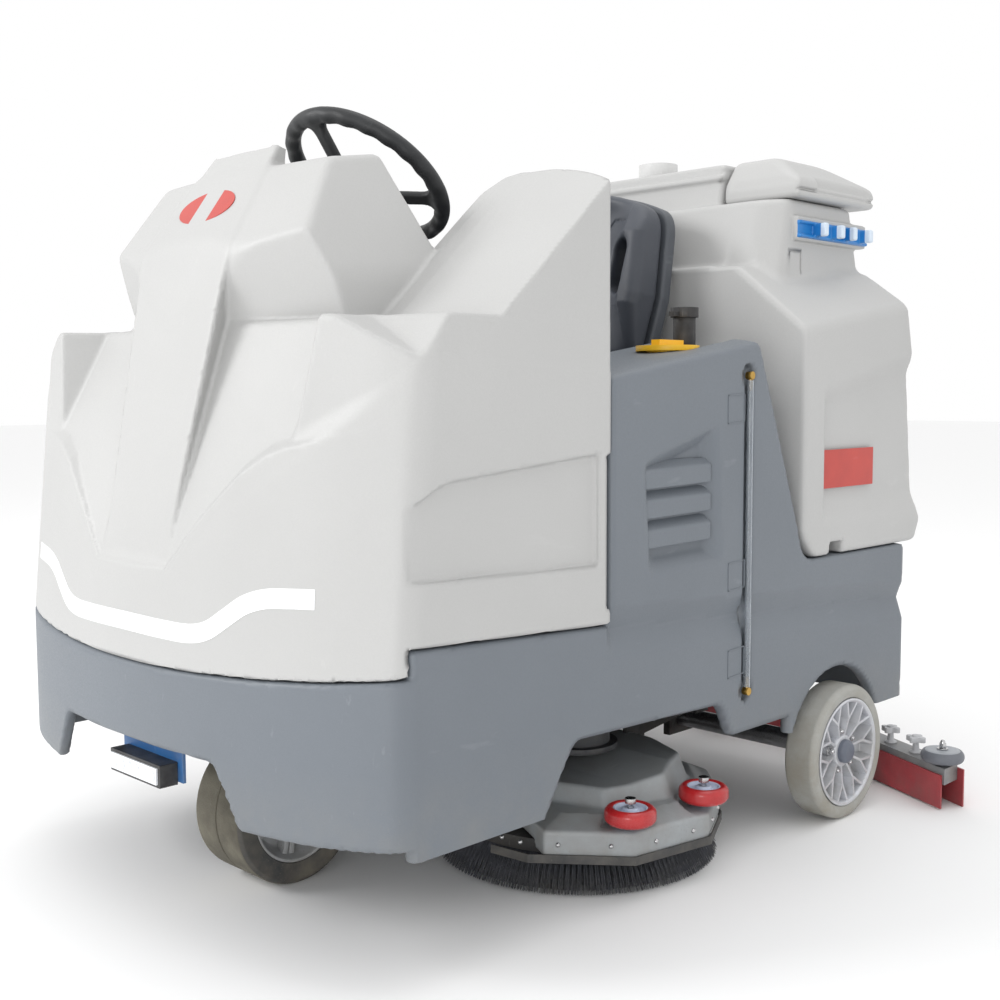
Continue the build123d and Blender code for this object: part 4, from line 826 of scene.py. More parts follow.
back_pad = moulding("seat_backrest_pad", back_pad_field, (-250, 85, 885), (250, 270, 1262), 4, 8)
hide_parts("seat_backrest")
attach(back_pad, "seat")
SEAT_SKIN = finish("charcoal_foam_skin", shade(74, 78, 86), shade(66, 70, 78), (0.4, 0.56), patch=7.0,
                   fine=700.0, bump=0.00022, pebble=620.0, rub=shade(112, 114, 118), scuffs=0.15)
dress(back_pad, SEAT_SKIN)


def cushion_field(x, y, z):
    """Crowned cushion with side bolsters, a rounded front and pressed seams."""
    a = np.abs(x)
    bolster = 16 * np.clip((a - 120) / 80.0, 0, 1) ** 2 * np.clip((y + 190) / 120.0, 0, 1)
    crown = 6 * np.exp(-np.square(x / 110.0)) - 8 * np.clip((-120 - y) / 90.0, 0, 1) ** 2
    groove = 3.2 * np.exp(-np.square((np.abs(y + 40) - 70) / SEAM_W)) * (a < 112)
    groove = groove + 3.2 * np.exp(-np.square((a - 112) / SEAM_W)) * ((y > -170) & (y < 90))
    top = z - 876 - bolster - crown + groove
    return meet(24, top, a - 234, -205 - y, y - 112, 815 - z)


cushion = moulding("seat_cushion_pad", cushion_field, (-245, -215, 808), (245, 122, 905), 4, 8)
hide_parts("seat_cushion")
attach(cushion, "seat")
dress(cushion, SEAT_SKIN)


def shell_field(x, y, z):
    """The shell behind the backrest, its pocket, and the pan under the cushion."""
    out, s = leaned(y, z)
    a = np.abs(x)
    back = meet(8, back_sheet(x, s, 3), 47 - out, out - 76 - 8 * np.exp(-np.square((a - 196) / 20.0)))
    pocket = meet(12, back_sheet(x, s, -34), 66 - out)
    back = meet(8, back, -pocket, -slot_hole(a, s, 4))
    pan = block(x, y, z, -205, 205, -196, 200, 800.5, 814, 4)
    neck = block(x, y, z, -150, 150, 170, 205, 800.5, 920, 6)
    return smin(back, smin(pan, neck, 12), 14)


shell = moulding("seat_shell_moulding", shell_field, (-255, -205, 792), (255, 285, 1268), 5, 9)
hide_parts("seat_shell")
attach(shell, "seat")
dress(shell,
      finish("seat_shell_plastic", shade(84, 88, 94), shade(76, 80, 86), (0.36, 0.5), patch=8.0, fine=700.0,
             scuffs=0.2))


def hood_field(x, y, z):
    """The box over the batteries, with a sunk front panel."""
    body = block(x, y, z, -293, 293, -196, 204, 669, 799, 20)
    panel = block(x, y, z, -230, 230, -230, -190, 690, 780, 10)
    return smax(body, -panel, 6)


hood = moulding("seat_hood_moulding", hood_field, (-305, -208, 660), (305, 214, 808), 8, 12)
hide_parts("seat_hood")
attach(hood, "seat")
dress(hood, BLUE_GREY)


# ------------------------------------------------------------ steering wheel
# Soft-touch rim over a steel ring, three flat spokes that dish down to the hub, finger
# swellings under the rim, and a round cap over the shaft nut.
WHEEL_TILT = math.radians(37.3)
WHEEL_Y, WHEEL_Z = -333.0, 1212.0
WHEEL_R, GRIP_R, SPOKES = 148.0, 14.0, 3


def wheel_field(x, y, z):
    """Rim with finger swellings, dished spokes with a sunk channel, hub and cap."""
    dy, dz = y - WHEEL_Y, z - WHEEL_Z
    v = dy * math.cos(WHEEL_TILT) - dz * math.sin(WHEEL_TILT)
    w = dy * math.sin(WHEEL_TILT) + dz * math.cos(WHEEL_TILT)
    rad = np.hypot(x, v)
    angle = np.arctan2(v, x)
    grip = GRIP_R + 0.9 * np.cos(angle * 24) * np.clip(-w / 10.0, 0, 1)
    rim = np.hypot(rad - WHEEL_R, w) - grip
    hub = meet(8, rad - 36, np.abs(w + 38) - 18)
    cap = meet(5, rad - 24, np.abs(w + 20) - 6)
    wheel = smin(hub, cap, 3)
    for k in range(SPOKES):
        t = math.radians(-90 + 360 / SPOKES * k)
        along = x * math.cos(t) + v * math.sin(t)
        across = -x * math.sin(t) + v * math.cos(t)
        width = 13 + 9 * np.clip((60 - along) / 60.0, 0, 1) + 6 * np.clip((along - 118) / 22.0, 0, 1)
        height = w - (-36 + np.clip((along - 30) / 110.0, 0, 1) * 34)
        spoke = meet(7, np.abs(across) - width, np.abs(height) - 7.5, along - WHEEL_R, 10 - along)
        rib = meet(3, np.abs(across) - width * 0.5, np.abs(height - 8) - 2.5, along - 134, 34 - along)
        wheel = smin(wheel, smax(spoke, -rib, 3), 10)
    wheel = smin(rim, wheel, 12)
    return smax(wheel, -meet(2, rad - 12, w + 34), 2)


wheel = moulding("steering_wheel_rim", wheel_field, (-170, -475, 1090), (170, -190, 1320), 3.5, 6)
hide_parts("steering_wheel")
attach(wheel, "steering_wheel")
dress(wheel,
      finish("soft_black_grip", shade(40, 42, 44), shade(32, 33, 35), (0.4, 0.58), patch=14.0, pebble=800.0,
             rub=shade(78, 80, 84), scuffs=0.1))


# ------------------------------------------------------------ wheels
# Two solid-tyred rear wheels with honeycomb cast rims, and a wide steered front wheel with a
# dished rim. Tyres are bonded polyurethane and rubber, and bolts are plated steel.
def rounded(points, r, closed=True, steps=5):
    """A broken line with its corners turned to curves of about radius r."""
    pts = [np.array(p, float) for p in points]
    out = []
    for i, p in enumerate(pts):
        if not closed and i in (0, len(pts) - 1):
            out.append(tuple(p))
            continue
        a, b = pts[i - 1] - p, pts[(i + 1) % len(pts)] - p
        la, lb = np.linalg.norm(a), np.linalg.norm(b)
        cut_a, cut_b = min(r, la * 0.45), min(r, lb * 0.45)
        first, last = p + a / la * cut_a, p + b / lb * cut_b
        for k in range(steps + 1):
            t = k / steps
            out.append(tuple((1 - t) ** 2 * first + 2 * t * (1 - t) * p + t * t * last))
    return out


def outward(obj, merge=0.0, bevel=0.0):
    """Merges doubles, turns the faces outwards and bevels the sharp edges, both sizes in metres."""
    work = bmesh.new()
    work.from_mesh(obj.data)
    if merge:
        bmesh.ops.remove_doubles(work, verts=work.verts, dist=merge)
    bmesh.ops.recalc_face_normals(work, faces=work.faces)
    if bevel:
        edges = [e for e in work.edges if e.calc_face_angle(0) > 0.6]
        bmesh.ops.bevel(work, geom=edges, offset=bevel, segments=2, affect="EDGES", profile=0.6)
    work.to_mesh(obj.data)
    work.free()
    return obj


def lathe(name, profile, centre, axis, steps=96, closed=True, bands=None):
    """A turned piece. The profile is (radius, distance along the axis) in millimetres about centre."""
    u, v, w = {"x": (1, 2, 0), "y": (2, 0, 1), "z": (0, 1, 2)}[axis]
    if sum(p[0] * q[1] - q[0] * p[1] for p, q in zip(profile, profile[1:] + profile[:1])) < 0:
        profile = profile[::-1]
    n = len(profile)
    points, faces, tints = [], [], []
    for i in range(steps):
        t = 2 * math.pi * i / steps
        for r, h in profile:
            p = [0.0, 0.0, 0.0]
            p[u], p[v], p[w] = r * math.cos(t), r * math.sin(t), h
            points.append([p[k] + centre[k] for k in range(3)])
    for i in range(steps):
        j = (i + 1) % steps
        for k in range(n if closed else n - 1):
            m = (k + 1) % n
            if profile[k][0] < 1e-6 and profile[m][0] < 1e-6:
                continue
            faces.append((i * n + k, j * n + k, j * n + m, i * n + m))
            middle = ((profile[k][0] + profile[m][0]) / 2, (profile[k][1] + profile[m][1]) / 2)
            tints.append(bands(*middle) if bands else 0)
    obj = plain_object(name, points, faces)
    obj.data.polygons.foreach_set("material_index", tints)
    return sharpen(outward(obj, merge=1e-7), 32)


def sharpen(obj, degrees):
    """Smooth shading apart from edges sharper than an angle."""
    obj.data.polygons.foreach_set("use_smooth", [True] * len(obj.data.polygons))
    obj.data.set_sharp_from_angle(angle=math.radians(degrees))
    return obj


def joined(name, objects, mirror_x=False):
    """One object from several, with all their materials, optionally reflected to the other side."""
    materials = []
    work = bmesh.new()
    for obj in objects:
        start = len(work.faces)
        work.from_mesh(obj.data)
        work.faces.ensure_lookup_table()
        own = list(obj.data.materials) or [None]
        for polygon in work.faces[start:]:
            material = own[min(polygon.material_index, len(own) - 1)]
            if material not in materials:
                materials.append(material)
            polygon.material_index = materials.index(material)
        mesh = obj.data
        bpy.data.objects.remove(obj)
        bpy.data.meshes.remove(mesh)
    if mirror_x:
        for vert in work.verts:
            vert.co.x = -vert.co.x
        bmesh.ops.reverse_faces(work, faces=work.faces)
    mesh = bpy.data.meshes.new(name)
    work.to_mesh(mesh)
    work.free()
    made = placed(name, mesh)
    dress(made, *materials)
    return made


def prism(name, outline, low, high, place, bevel=0.0, taper=1.0):
    """An outline in two coordinates pushed from low to high; place(a, b, h) gives the point."""
    mid = (sum(p[0] for p in outline) / len(outline), sum(p[1] for p in outline) / len(outline))
    small = [(mid[0] + (a - mid[0]) * taper, mid[1] + (b - mid[1]) * taper) for a, b in outline]
    n = len(outline)
    points = [place(a, b, low) for a, b in outline] + [place(a, b, high) for a, b in small]
    faces = [tuple(range(n))[::-1], tuple(range(n, 2 * n))]
    faces += [(i, (i + 1) % n, n + (i + 1) % n, n + i) for i in range(n)]
    return sharpen(outward(plain_object(name, points, faces), bevel=bevel / 1000), 35)


def hex_bolt(name, centre, axis, across, height, material):
    """A domed hexagon nut standing from centre along an axis."""
    turn = {"x": lambda a, b, h: (centre[0] + h, centre[1] + a, centre[2] + b),
            "z": lambda a, b, h: (centre[0] + a, centre[1] + b, centre[2] + h)}[axis]
    r = across / math.sqrt(3)
    ring = [(r * math.cos(math.pi / 3 * k), r * math.sin(math.pi / 3 * k)) for k in range(6)]
    nut = prism(name, ring, 0, height * 0.6, turn, 0.7)
    washer = lathe(name + "_washer",
                   rounded([(0, -1.2), (across * 0.85, -1.2), (across * 0.85, 0.6), (0, 0.6)], 0.5), centre,
                   axis, 24)
    dome = lathe(name + "_dome",
                 [(0.0, height * 0.5), (across * 0.4, height * 0.5), (across * 0.38, height * 0.75),
                  (across * 0.25, height * 0.93), (0.0, height)], centre, axis, 20, closed=False)
    for obj in (nut, washer, dome):
        dress(obj, material)
    return [nut, washer, dome]


CHROME = finish("bright_plating", shade(205, 205, 205), shade(180, 180, 182), (0.12, 0.3), patch=30.0,
                fine=2500.0, bump=0.00003, metal=1.0, streaks=True, scuffs=0.0)
REAR_TREAD = finish("grey_polyurethane_tyre", shade(172, 172, 168), shade(156, 156, 150), (0.62, 0.85),
                    patch=14.0, fine=700.0, bump=0.0006, pebble=520.0, dust=shade(146, 140, 126),
                    dust_top=0.42)
FRONT_TREAD = finish("worn_front_tread", shade(122, 118, 104), shade(96, 92, 80), (0.72, 0.92), patch=22.0,
                     fine=620.0, bump=0.0007, pebble=380.0, dust=shade(66, 62, 54), dust_top=0.5)
SIDEWALL = finish("dark_rubber_sidewall", shade(62, 64, 67), shade(50, 51, 53), (0.55, 0.75), patch=12.0,
                  dust=shade(112, 106, 94), dust_top=0.3)
RIM_METAL = finish("cast_silver_rim", shade(214, 216, 221), shade(198, 200, 206), (0.34, 0.5), patch=18.0,
                   fine=1500.0, bump=0.00012, metal=0.35, dust=shade(146, 142, 132), dust_top=0.3, scuffs=0.2)
CAP_GREY = finish("blue_grey_hub_cap", shade(106, 112, 124), shade(94, 99, 110), (0.35, 0.5), patch=30.0,
                  fine=1200.0, bump=0.0001)

REAR_HUB = (525.0, REAR_AXLE_Y, 131.0)
REAR_SPOKES, FORK_R = 10, 64.0
WHEEL_BOLTS, BOLT_R = 5, 40.0


def rear_spoke(a0, b0, a1, b1, outer0, outer1, name):
    """One wall of the honeycomb, thin at the outer edge."""
    d = np.array([a1 - a0, b1 - b0], float)
    d /= np.linalg.norm(d)
    side = np.array([-d[1], d[0]])
    p, q = np.array([a0, b0], float), np.array([a1, b1], float)
    corners = []
    for end, outer in ((p, outer0), (q, outer1)):
        for half, h in ((7.0, 0.0), (2.4, outer), (-2.4, outer), (-7.0, 0.0)):
            a, b = end + side * half
            corners.append((REAR_HUB[0] + h, REAR_HUB[1] + a, REAR_HUB[2] + b))
    faces = [(0, 1, 2, 3), (7, 6, 5, 4), (0, 4, 5, 1), (1, 5, 6, 2), (2, 6, 7, 3), (3, 7, 4, 0)]
    obj = outward(plain_object(name, corners, faces, smooth=False))
    dress(obj, RIM_METAL)
    return obj


def rear_wheel(side):
    """Tyre and rim of one rear wheel; side is left or right."""
    mirror = side == "right"
    tread = lathe("tread",
                  rounded([(103, -34), (119, -34), (131, -27), (131, 27), (122, 34.3), (105, 32)], 5),
                  REAR_HUB, "x", 144)
    dress(tread, REAR_TREAD)
    tyre = joined("rear_tyre_" + side + "_moulding", [tread], mirror)
    ring = lathe("ring", rounded([(96, -31), (104, -31), (104, 30), (105, 33), (101, 34), (97, 31), (93, 4),
                                  (30, 2), (30, -6), (90, -6)], 2.2), REAR_HUB, "x", 120)
    hub = lathe("hub", rounded([(12, -31), (30, -31), (33, 15), (30, 22), (12, 22)], 3), REAR_HUB, "x", 48)
    cap = lathe("cap", rounded([(0, 20), (23, 20), (23, 30), (17, 36.5), (0, 37.5)], 3, closed=False),
                REAR_HUB, "x", 48, closed=False)
    dress(ring, RIM_METAL)
    dress(hub, RIM_METAL)
    dress(cap, CAP_GREY)
    parts = [ring, hub, cap]
    for k in range(REAR_SPOKES):
        t = math.radians(360 / REAR_SPOKES * k + 9)
        parts.append(rear_spoke(26 * math.cos(t), 26 * math.sin(t), FORK_R * math.cos(t),
                                FORK_R * math.sin(t), 20, 27, "spoke"))
        for turn in (-10.5, 10.5):
            q = t + math.radians(turn)
            parts.append(rear_spoke(FORK_R * math.cos(t), FORK_R * math.sin(t), 98 * math.cos(q),
                                    98 * math.sin(q), 27, 31, "fork_rib"))
    for k in range(WHEEL_BOLTS):
        t = math.radians(360 / WHEEL_BOLTS * k + 27)
        place = (REAR_HUB[0] + 14, REAR_HUB[1] + BOLT_R * math.cos(t), REAR_HUB[2] + BOLT_R * math.sin(t))
        parts += hex_bolt("rim_bolt", place, "x", 11, 11, CHROME)
        boss = lathe("boss", rounded([(0, -12), (10, -12), (9, 14), (0, 14)], 1.5),
                     (REAR_HUB[0], place[1], place[2]), "x", 24)
        dress(boss, RIM_METAL)
        parts.append(boss)
    rim = joined("rear_rim_" + side + "_casting", parts, mirror)
    for obj, node, slot_name in ((tyre, "rear_tyre_" + side, "tyre_rear"),
                                 (rim, "rear_rim_" + side, "rim_silver")):
        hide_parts(node)
        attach(obj, "rear_wheel_" + side)


rear_wheel("left")
rear_wheel("right")

FRONT_HUB = (0.0, -550.0, 125.0)
front_tyre = lathe("front_tyre_moulding",
                   rounded([(88, -64), (118, -66), (125, -60), (125, -1.6), (122.6, -1.0), (122.6, 1.0),
                            (125, 1.6), (125, 60), (118, 66), (88, 64)], 2.4), FRONT_HUB, "x", 160,
                   bands=lambda r, h: 1 if abs(h) > 61 or r < 100 else 0)
dress(front_tyre, FRONT_TREAD, SIDEWALL)
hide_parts("front_tyre")
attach(front_tyre, "front_wheel")

CAST = finish("light_grey_cast_rim", shade(186, 188, 190), shade(166, 168, 170), (0.38, 0.55), patch=16.0,
              fine=1300.0, bump=0.00018, metal=0.25, dust=shade(120, 114, 102), dust_top=0.26, scuffs=0.25)


def on_front_rim(a, b, h):
    """A point on the front rim, from two coordinates across the wheel and one along its axle."""
    return h, FRONT_HUB[1] + a, FRONT_HUB[2] + b


rim_parts = [lathe("dish",
                   rounded([(14, -40), (78, -40), (82, -62), (89, -62), (89, 62), (83, 62), (79, 52),
                            (70, 30), (44, 22), (30, 30), (14, 30)], 3), FRONT_HUB, "x", 120)]
for k in range(6):
    for turn in (-9, 9):
        t = math.radians(60 * k + 20 + turn)
        q = math.radians(60 * k + 20 + turn * 0.55)
        ends = [(26, t, 3.6), (80, q, 5.2)]
        outline = []
        for r, angle, half in ends + ends[::-1]:
            sign = 1 if len(outline) < 2 else -1
            outline.append((r * math.cos(angle) - sign * half * math.sin(angle),
                            r * math.sin(angle) + sign * half * math.cos(angle)))
        rim_parts.append(prism("rib", outline, 18, 47, on_front_rim, 1.4))
rim_parts.append(lathe("centre", rounded([(0, 24), (34, 24), (32, 42), (22, 48), (0, 48)], 3, closed=False),
                       FRONT_HUB, "x", 48, closed=False))
for obj in rim_parts:
    dress(obj, CAST)
for k in range(5):
    t = math.radians(72 * k)
    rim_parts += hex_bolt("hub_bolt",
                          (48.0, FRONT_HUB[1] + 24 * math.cos(t), FRONT_HUB[2] + 24 * math.sin(t)), "x", 9, 8,
                          CHROME)
front_rim = joined("front_rim_casting", rim_parts)
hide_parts("front_rim")
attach(front_rim, "front_wheel")


# ------------------------------------------------------------ scrub deck
# Faceted pressed housing over two disc brushes, with a rubber skirt along its lower edge,
# domed screws, guide rollers and flared nylon bristles set in tufts.
BRUSH = (276.0, -85.0)
COVER = [(205, -215), (318, -343), (393, -334), (526, -223), (554, -58), (492, 60), (400, 150), (250, 175),
         (60, 150), (14, 60), (14, -120)]
HAT = [(215, -235), (347, -240), (450, -206), (492, -82), (440, 40), (330, 90), (160, 90), (110, -60)]
DECK_GREY = finish("painted_deck_grey", shade(160, 165, 168), shade(148, 152, 155), (0.38, 0.52), patch=6.0,
                   bump=0.00015, coat=0.1, rub=shade(170, 172, 174), dust=shade(128, 124, 116), dust_top=0.3)
SKIRT = finish("black_skirt_rubber", shade(52, 53, 56), shade(40, 41, 43), (0.5, 0.7), patch=16.0, fine=800.0,
               dust=shade(110, 106, 98), dust_top=0.3)


def cover_field(x, y, z):
    """Both housings: a low faceted tray with a raised hat, open below for the brushes."""
    a = np.abs(x)
    wall = convex_sheet(COVER, a, y, 5)
    roof = z - 116 - 18 * np.clip(-wall / 42.0, 0, 1)
    hat = convex_sheet(HAT, a, y, 8)
    raised = meet(6, hat + np.clip(z - 130, 0, 60) * 0.35, z - 166 - np.clip(y + 150, 0, 120) * 0.13)
    shape = smin(meet(5, wall, roof, 74 - z), smax(raised, 110 - z, 2), 6)
    for cx, cy in ((510, -215), (527, -37)):
        shape = smax(shape, -smax(np.hypot(a - cx, y - cy) - 49, 119 - z, 3), 4)
    shape = smax(shape, -meet(4, wall + 11, z - 100), 3)
    return smax(shape, -smax(np.hypot(a - BRUSH[0], y - BRUSH[1]) - 232, z - 88, 3), 3)


cover = moulding("brush_housings", cover_field, (-570, -355, 66), (570, 185, 194), 5, 9)
dress(cover, DECK_GREY)
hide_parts("deck_covers")
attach(cover, "brush_deck")


SCREW_R, SCREW_Z = 0.0042, 0.094


def skirt_strip(side):
    """The rubber strip clamped round one housing, and its screws."""
    mirror = -1 if side == "right" else 1
    bands, screws = [], []
    n = len(COVER)
    for grow, z in ((1.006, 64), (1.006, 78), (1.016, 78), (1.018, 64)):
        bands.append([(mirror * (BRUSH[0] + (x - BRUSH[0]) * grow), BRUSH[1] + (y - BRUSH[1]) * grow, z)
                      for x, y in COVER])
    points = [p for ring in bands for p in ring]
    faces = [(b * n + i, b * n + i + 1, (b + 1) % 4 * n + i + 1, (b + 1) % 4 * n + i)
             for b in range(4) for i in range(1, n - 1)]
    faces += [tuple(b * n + i for b in range(4)) for i in (1, n - 1)]
    band = outward(plain_object("strip", points, faces, smooth=False))
    dress(band, SKIRT)
    for i in range(1, n - 2):
        for t in (0.28, 0.78):
            x = COVER[i][0] + (COVER[i + 1][0] - COVER[i][0]) * t
            y = COVER[i][1] + (COVER[i + 1][1] - COVER[i][1]) * t
            screw = bpy.data.meshes.new("screw")
            work = bmesh.new()
            bmesh.ops.create_uvsphere(work, u_segments=14, v_segments=8, radius=SCREW_R)
            bmesh.ops.translate(work, verts=work.verts, vec=(mirror * x / 1000, y / 1000, SCREW_Z))
            work.to_mesh(screw)
            work.free()
            obj = sharpen(placed("screw", screw), 60)
            dress(obj, CHROME)
            screws.append(obj)
    whole = joined("skirt_strip_" + side, [band] + screws)
    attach(whole, "brush_deck")


skirt_strip("left")
skirt_strip("right")


# Bristles: tufts set in rings and leaning outwards, one instance for each drilled hole.
NYLON = finish("black_nylon_bristle", shade(92, 94, 102), shade(62, 64, 70), (0.42, 0.62), patch=60.0,
               fine=1500.0, bump=0.00005, scuffs=0.0, dust=shade(96, 94, 90), dust_top=0.05)


def tuft_mesh():
    """One tuft: a dozen bristles that spread towards the floor."""
    picks = random.Random(4)
    points, faces = [], []
    for k in range(12):
        t, r = picks.uniform(0, 2 * math.pi), 3.4 * math.sqrt(picks.random())
        lean = picks.uniform(2.2, 3.0)
        base_at = np.array([r * math.cos(t), r * math.sin(t), 2.0])
        tip = np.array([lean * r * math.cos(t), lean * r * math.sin(t), -60.0 + picks.uniform(0, 2.0)])
        middle = (base_at + tip) / 2 + np.array([picks.uniform(-1.2, 1.2), picks.uniform(-1.2, 1.2), 0])
        first = len(points)
        for p, thick in ((base_at, 0.55), (middle, 0.5), (tip, 0.42)):
            for j in range(3):
                q = 2 * math.pi * j / 3
                points.append((p[0] + thick * math.cos(q), p[1] + thick * math.sin(q), p[2]))
        for level in range(2):
            for j in range(3):
                m = (j + 1) % 3
                s = first + 3 * level
                faces.append((s + j, s + 3 + j, s + 3 + m, s + m))
        faces.append((first + 6, first + 8, first + 7))
    return plain_object("tuft", points, faces)


def tuft_tree():
    """Sets a tuft on every point, turned and stretched by the point, and joins them."""
    tree = bpy.data.node_groups.new("tuft_rings", "GeometryNodeTree")
    for label, kind in (("Geometry", "Geometry"), ("Tuft", "Object"), ("Seed", "Int"), ("Sway", "Float"),
                        ("Finish", "Material")):
        tree.interface.new_socket(label, in_out="INPUT", socket_type="NodeSocket" + kind)
    tree.interface.new_socket("Geometry", in_out="OUTPUT", socket_type="NodeSocketGeometry")
    given, made = tree.nodes.new("NodeGroupInput").outputs, tree.nodes.new("NodeGroupOutput").inputs
    tuft = add(tree, "GeometryNodeObjectInfo", {"Object": given["Tuft"]})
    turn = add(tree, "GeometryNodeInputNamedAttribute", {"Name": "turn"}, data_type="FLOAT_VECTOR")
    stretch = add(tree, "GeometryNodeInputNamedAttribute", {"Name": "stretch"}, data_type="FLOAT_VECTOR")
    sway = add(tree, "FunctionNodeRandomValue", {"Seed": given["Seed"]}, data_type="FLOAT_VECTOR")
    low = add(tree, "ShaderNodeVectorMath", {0: (-1, -1, -1)}, operation="SCALE")
    tree.links.new(given["Sway"], low.inputs["Scale"])
    high = add(tree, "ShaderNodeVectorMath", {0: (1, 1, 1)}, operation="SCALE")
    tree.links.new(given["Sway"], high.inputs["Scale"])
    tree.links.new(low.outputs[0], sway.inputs[0])
    tree.links.new(high.outputs[0], sway.inputs[1])
    angle = add(tree, "ShaderNodeVectorMath", {0: turn.outputs[0], 1: sway.outputs[0]}, operation="ADD")
    set_ = add(tree, "GeometryNodeInstanceOnPoints",
               {"Points": given["Geometry"], "Instance": tuft.outputs["Geometry"],
                "Scale": stretch.outputs[0]})
    tree.links.new(angle.outputs[0], set_.inputs["Rotation"])
    real = add(tree, "GeometryNodeRealizeInstances", {"Geometry": set_.outputs[0]})
    painted = add(tree, "GeometryNodeSetMaterial", {"Geometry": real.outputs[0], "Material": given["Finish"]})
    tree.links.new(painted.outputs[0], made["Geometry"])
    return tree


TUFT_ROWS = ((217, 150), (203, 140), (187, 120), (166, 90), (142, 70))
TUFT_ROOT_Z = 61.5


def bristle_ring(side, tuft, tree, seed):
    """All the tufts of one brush: rings of points with their turn and stretch, then one mesh."""
    centre = (BRUSH[0] if side == "left" else -BRUSH[0], BRUSH[1])
    points, turns, stretches = [], [], []
    for r, count in TUFT_ROWS:
        for i in range(count):
            t = 2 * math.pi * (i + 0.5 * (r % 2)) / count
            lean = math.atan2(33.0 * (r / TUFT_ROWS[0][0]) ** 3, 60.0)
            points.append((centre[0] + r * math.cos(t), centre[1] + r * math.sin(t), TUFT_ROOT_Z))
            turns += [0.0, -lean, t]
            stretches += [1.0, 1.0, 0.985 / math.cos(lean)]
    obj = plain_object("tuft_points_" + side, points, [])
    obj.data.attributes.new("turn", "FLOAT_VECTOR", "POINT").data.foreach_set("vector", turns)
    obj.data.attributes.new("stretch", "FLOAT_VECTOR", "POINT").data.foreach_set("vector", stretches)
    nodes = obj.modifiers.new("tufts", "NODES")
    nodes.node_group = tree
    names = {item.name: item.identifier for item in tree.interface.items_tree if item.in_out == "INPUT"}
    for label, value in (("Tuft", tuft), ("Seed", seed), ("Sway", 0.018), ("Finish", NYLON)):
        nodes[names[label]] = value
    ready = obj.evaluated_get(bpy.context.evaluated_depsgraph_get())
    mesh = bpy.data.meshes.new_from_object(ready)
    obj.modifiers.remove(nodes)
    bpy.data.objects.remove(obj)
    ring = placed("bristle_tufts_" + side, mesh)
    dress(ring, NYLON)
    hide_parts("bristles_" + side)
    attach(ring, "brush_" + side)


one_tuft = tuft_mesh()
rings = tuft_tree()
bristle_ring("left", one_tuft, rings, 3)
bristle_ring("right", one_tuft, rings, 8)
bpy.data.objects.remove(one_tuft)


# Guide rollers: red polyurethane tyres on pale dished hubs, held by plated bolts.
RED_TYRE = finish("red_polyurethane", shade(188, 42, 44), shade(166, 34, 38), (0.22, 0.36), patch=24.0,
                  bump=0.00012, coat=0.25, rub=shade(205, 110, 104), scuffs=0.4)
PALE_HUB = finish("pale_blue_hub", shade(200, 208, 228), shade(188, 196, 216), (0.35, 0.5), patch=30.0,
                  bump=0.0001, scuffs=0.3)


ROLLER_Z = 142.5


def wall_roller(name, x, y):
    """One guide roller, lying flat on its bolt."""
    at = (x, y, ROLLER_Z)
    tyre = lathe("tyre",
                 rounded([(28, -13), (36, -14.5), (42.8, -8), (43, 0), (42.8, 8), (36, 14.5), (28, 13)], 3.4),
                 at, "z", 72)
    hub = lathe("hub",
                rounded([(6, -11), (29, -11), (29, 12), (26, 12), (24, 7), (15, 7), (13, 12), (6, 12)], 1.6),
                at, "z", 60)
    dress(tyre, RED_TYRE)
    dress(hub, PALE_HUB)
    roller = joined(name + "_tyre", [tyre, hub])
    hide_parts(name)
    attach(roller, name)


for sign, side in ((1, "left"), (-1, "right")):
    wall_roller("wall_roller_front_" + side, sign * 510.0, -215.0)
    wall_roller("wall_roller_rear_" + side, sign * 527.0, -37.0)


# ------------------------------------------------------------ squeegee
# Bent steel channel with red double blades, star knobs that clamp them, and an end roller each
# side with a domed nut.
SQ_GREY = finish("squeegee_paint", shade(126, 129, 134), shade(112, 115, 120), (0.36, 0.5), patch=8.0,
                 bump=0.00012, rub=shade(170, 170, 170), dust=shade(126, 120, 110), dust_top=0.2)
BLADE_RED = finish("red_blade_rubber", shade(186, 70, 76), shade(160, 52, 60), (0.45, 0.65), patch=20.0,
                   bump=0.00015, dust=shade(120, 84, 82), dust_top=0.1)
KNOB = finish("light_grey_knob", shade(196, 197, 200), shade(182, 183, 186), (0.4, 0.55), patch=30.0,
              bump=0.0001)
ROLLER_GREY = finish("grey_roller_rubber", shade(112, 115, 122), shade(98, 101, 108), (0.4, 0.6), patch=24.0,
                     bump=0.00015, rub=shade(150, 150, 152))
ROLLER_TOP = finish("light_roller_core", shade(168, 172, 178), shade(154, 158, 164), (0.35, 0.5), patch=30.0,
                    bump=0.0001)
dress_node(SQ_GREY, "squeegee_body", edge=0.002)
dress_node(BLADE_RED, "squeegee_blades")
KNOB_PLACES = ((500, 671.4), (575, 636.5), (-500, 671.4), (-575, 636.5))
END_X, END_Y = 650.0, 601.5
knobs = []
for x, y in KNOB_PLACES:
    outline = []
    for i in range(64):
        t = 2 * math.pi * i / 64
        r = 16.5 + 4.5 * math.cos(4 * t)
        outline.append((r * math.cos(t), r * math.sin(t)))
    knobs.append(prism("star", outline, 107, 118, lambda a, b, h, x=x, y=y: (x + a, y + b, h), 1.6))
    knobs.append(lathe("stem", rounded([(0, 84), (13, 84), (13, 87), (7, 90), (6, 108), (0, 108)], 1.2),
                       (x, y, 0), "z", 32))
    knobs.append(lathe("boss", rounded([(0, 116), (9, 116), (8, 121), (0, 121)], 1.2), (x, y, 0), "z", 32))
for obj in knobs:
    dress(obj, KNOB)
star_knobs = joined("star_knobs", knobs)
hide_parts("squeegee_knobs")
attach(star_knobs, "squeegee")
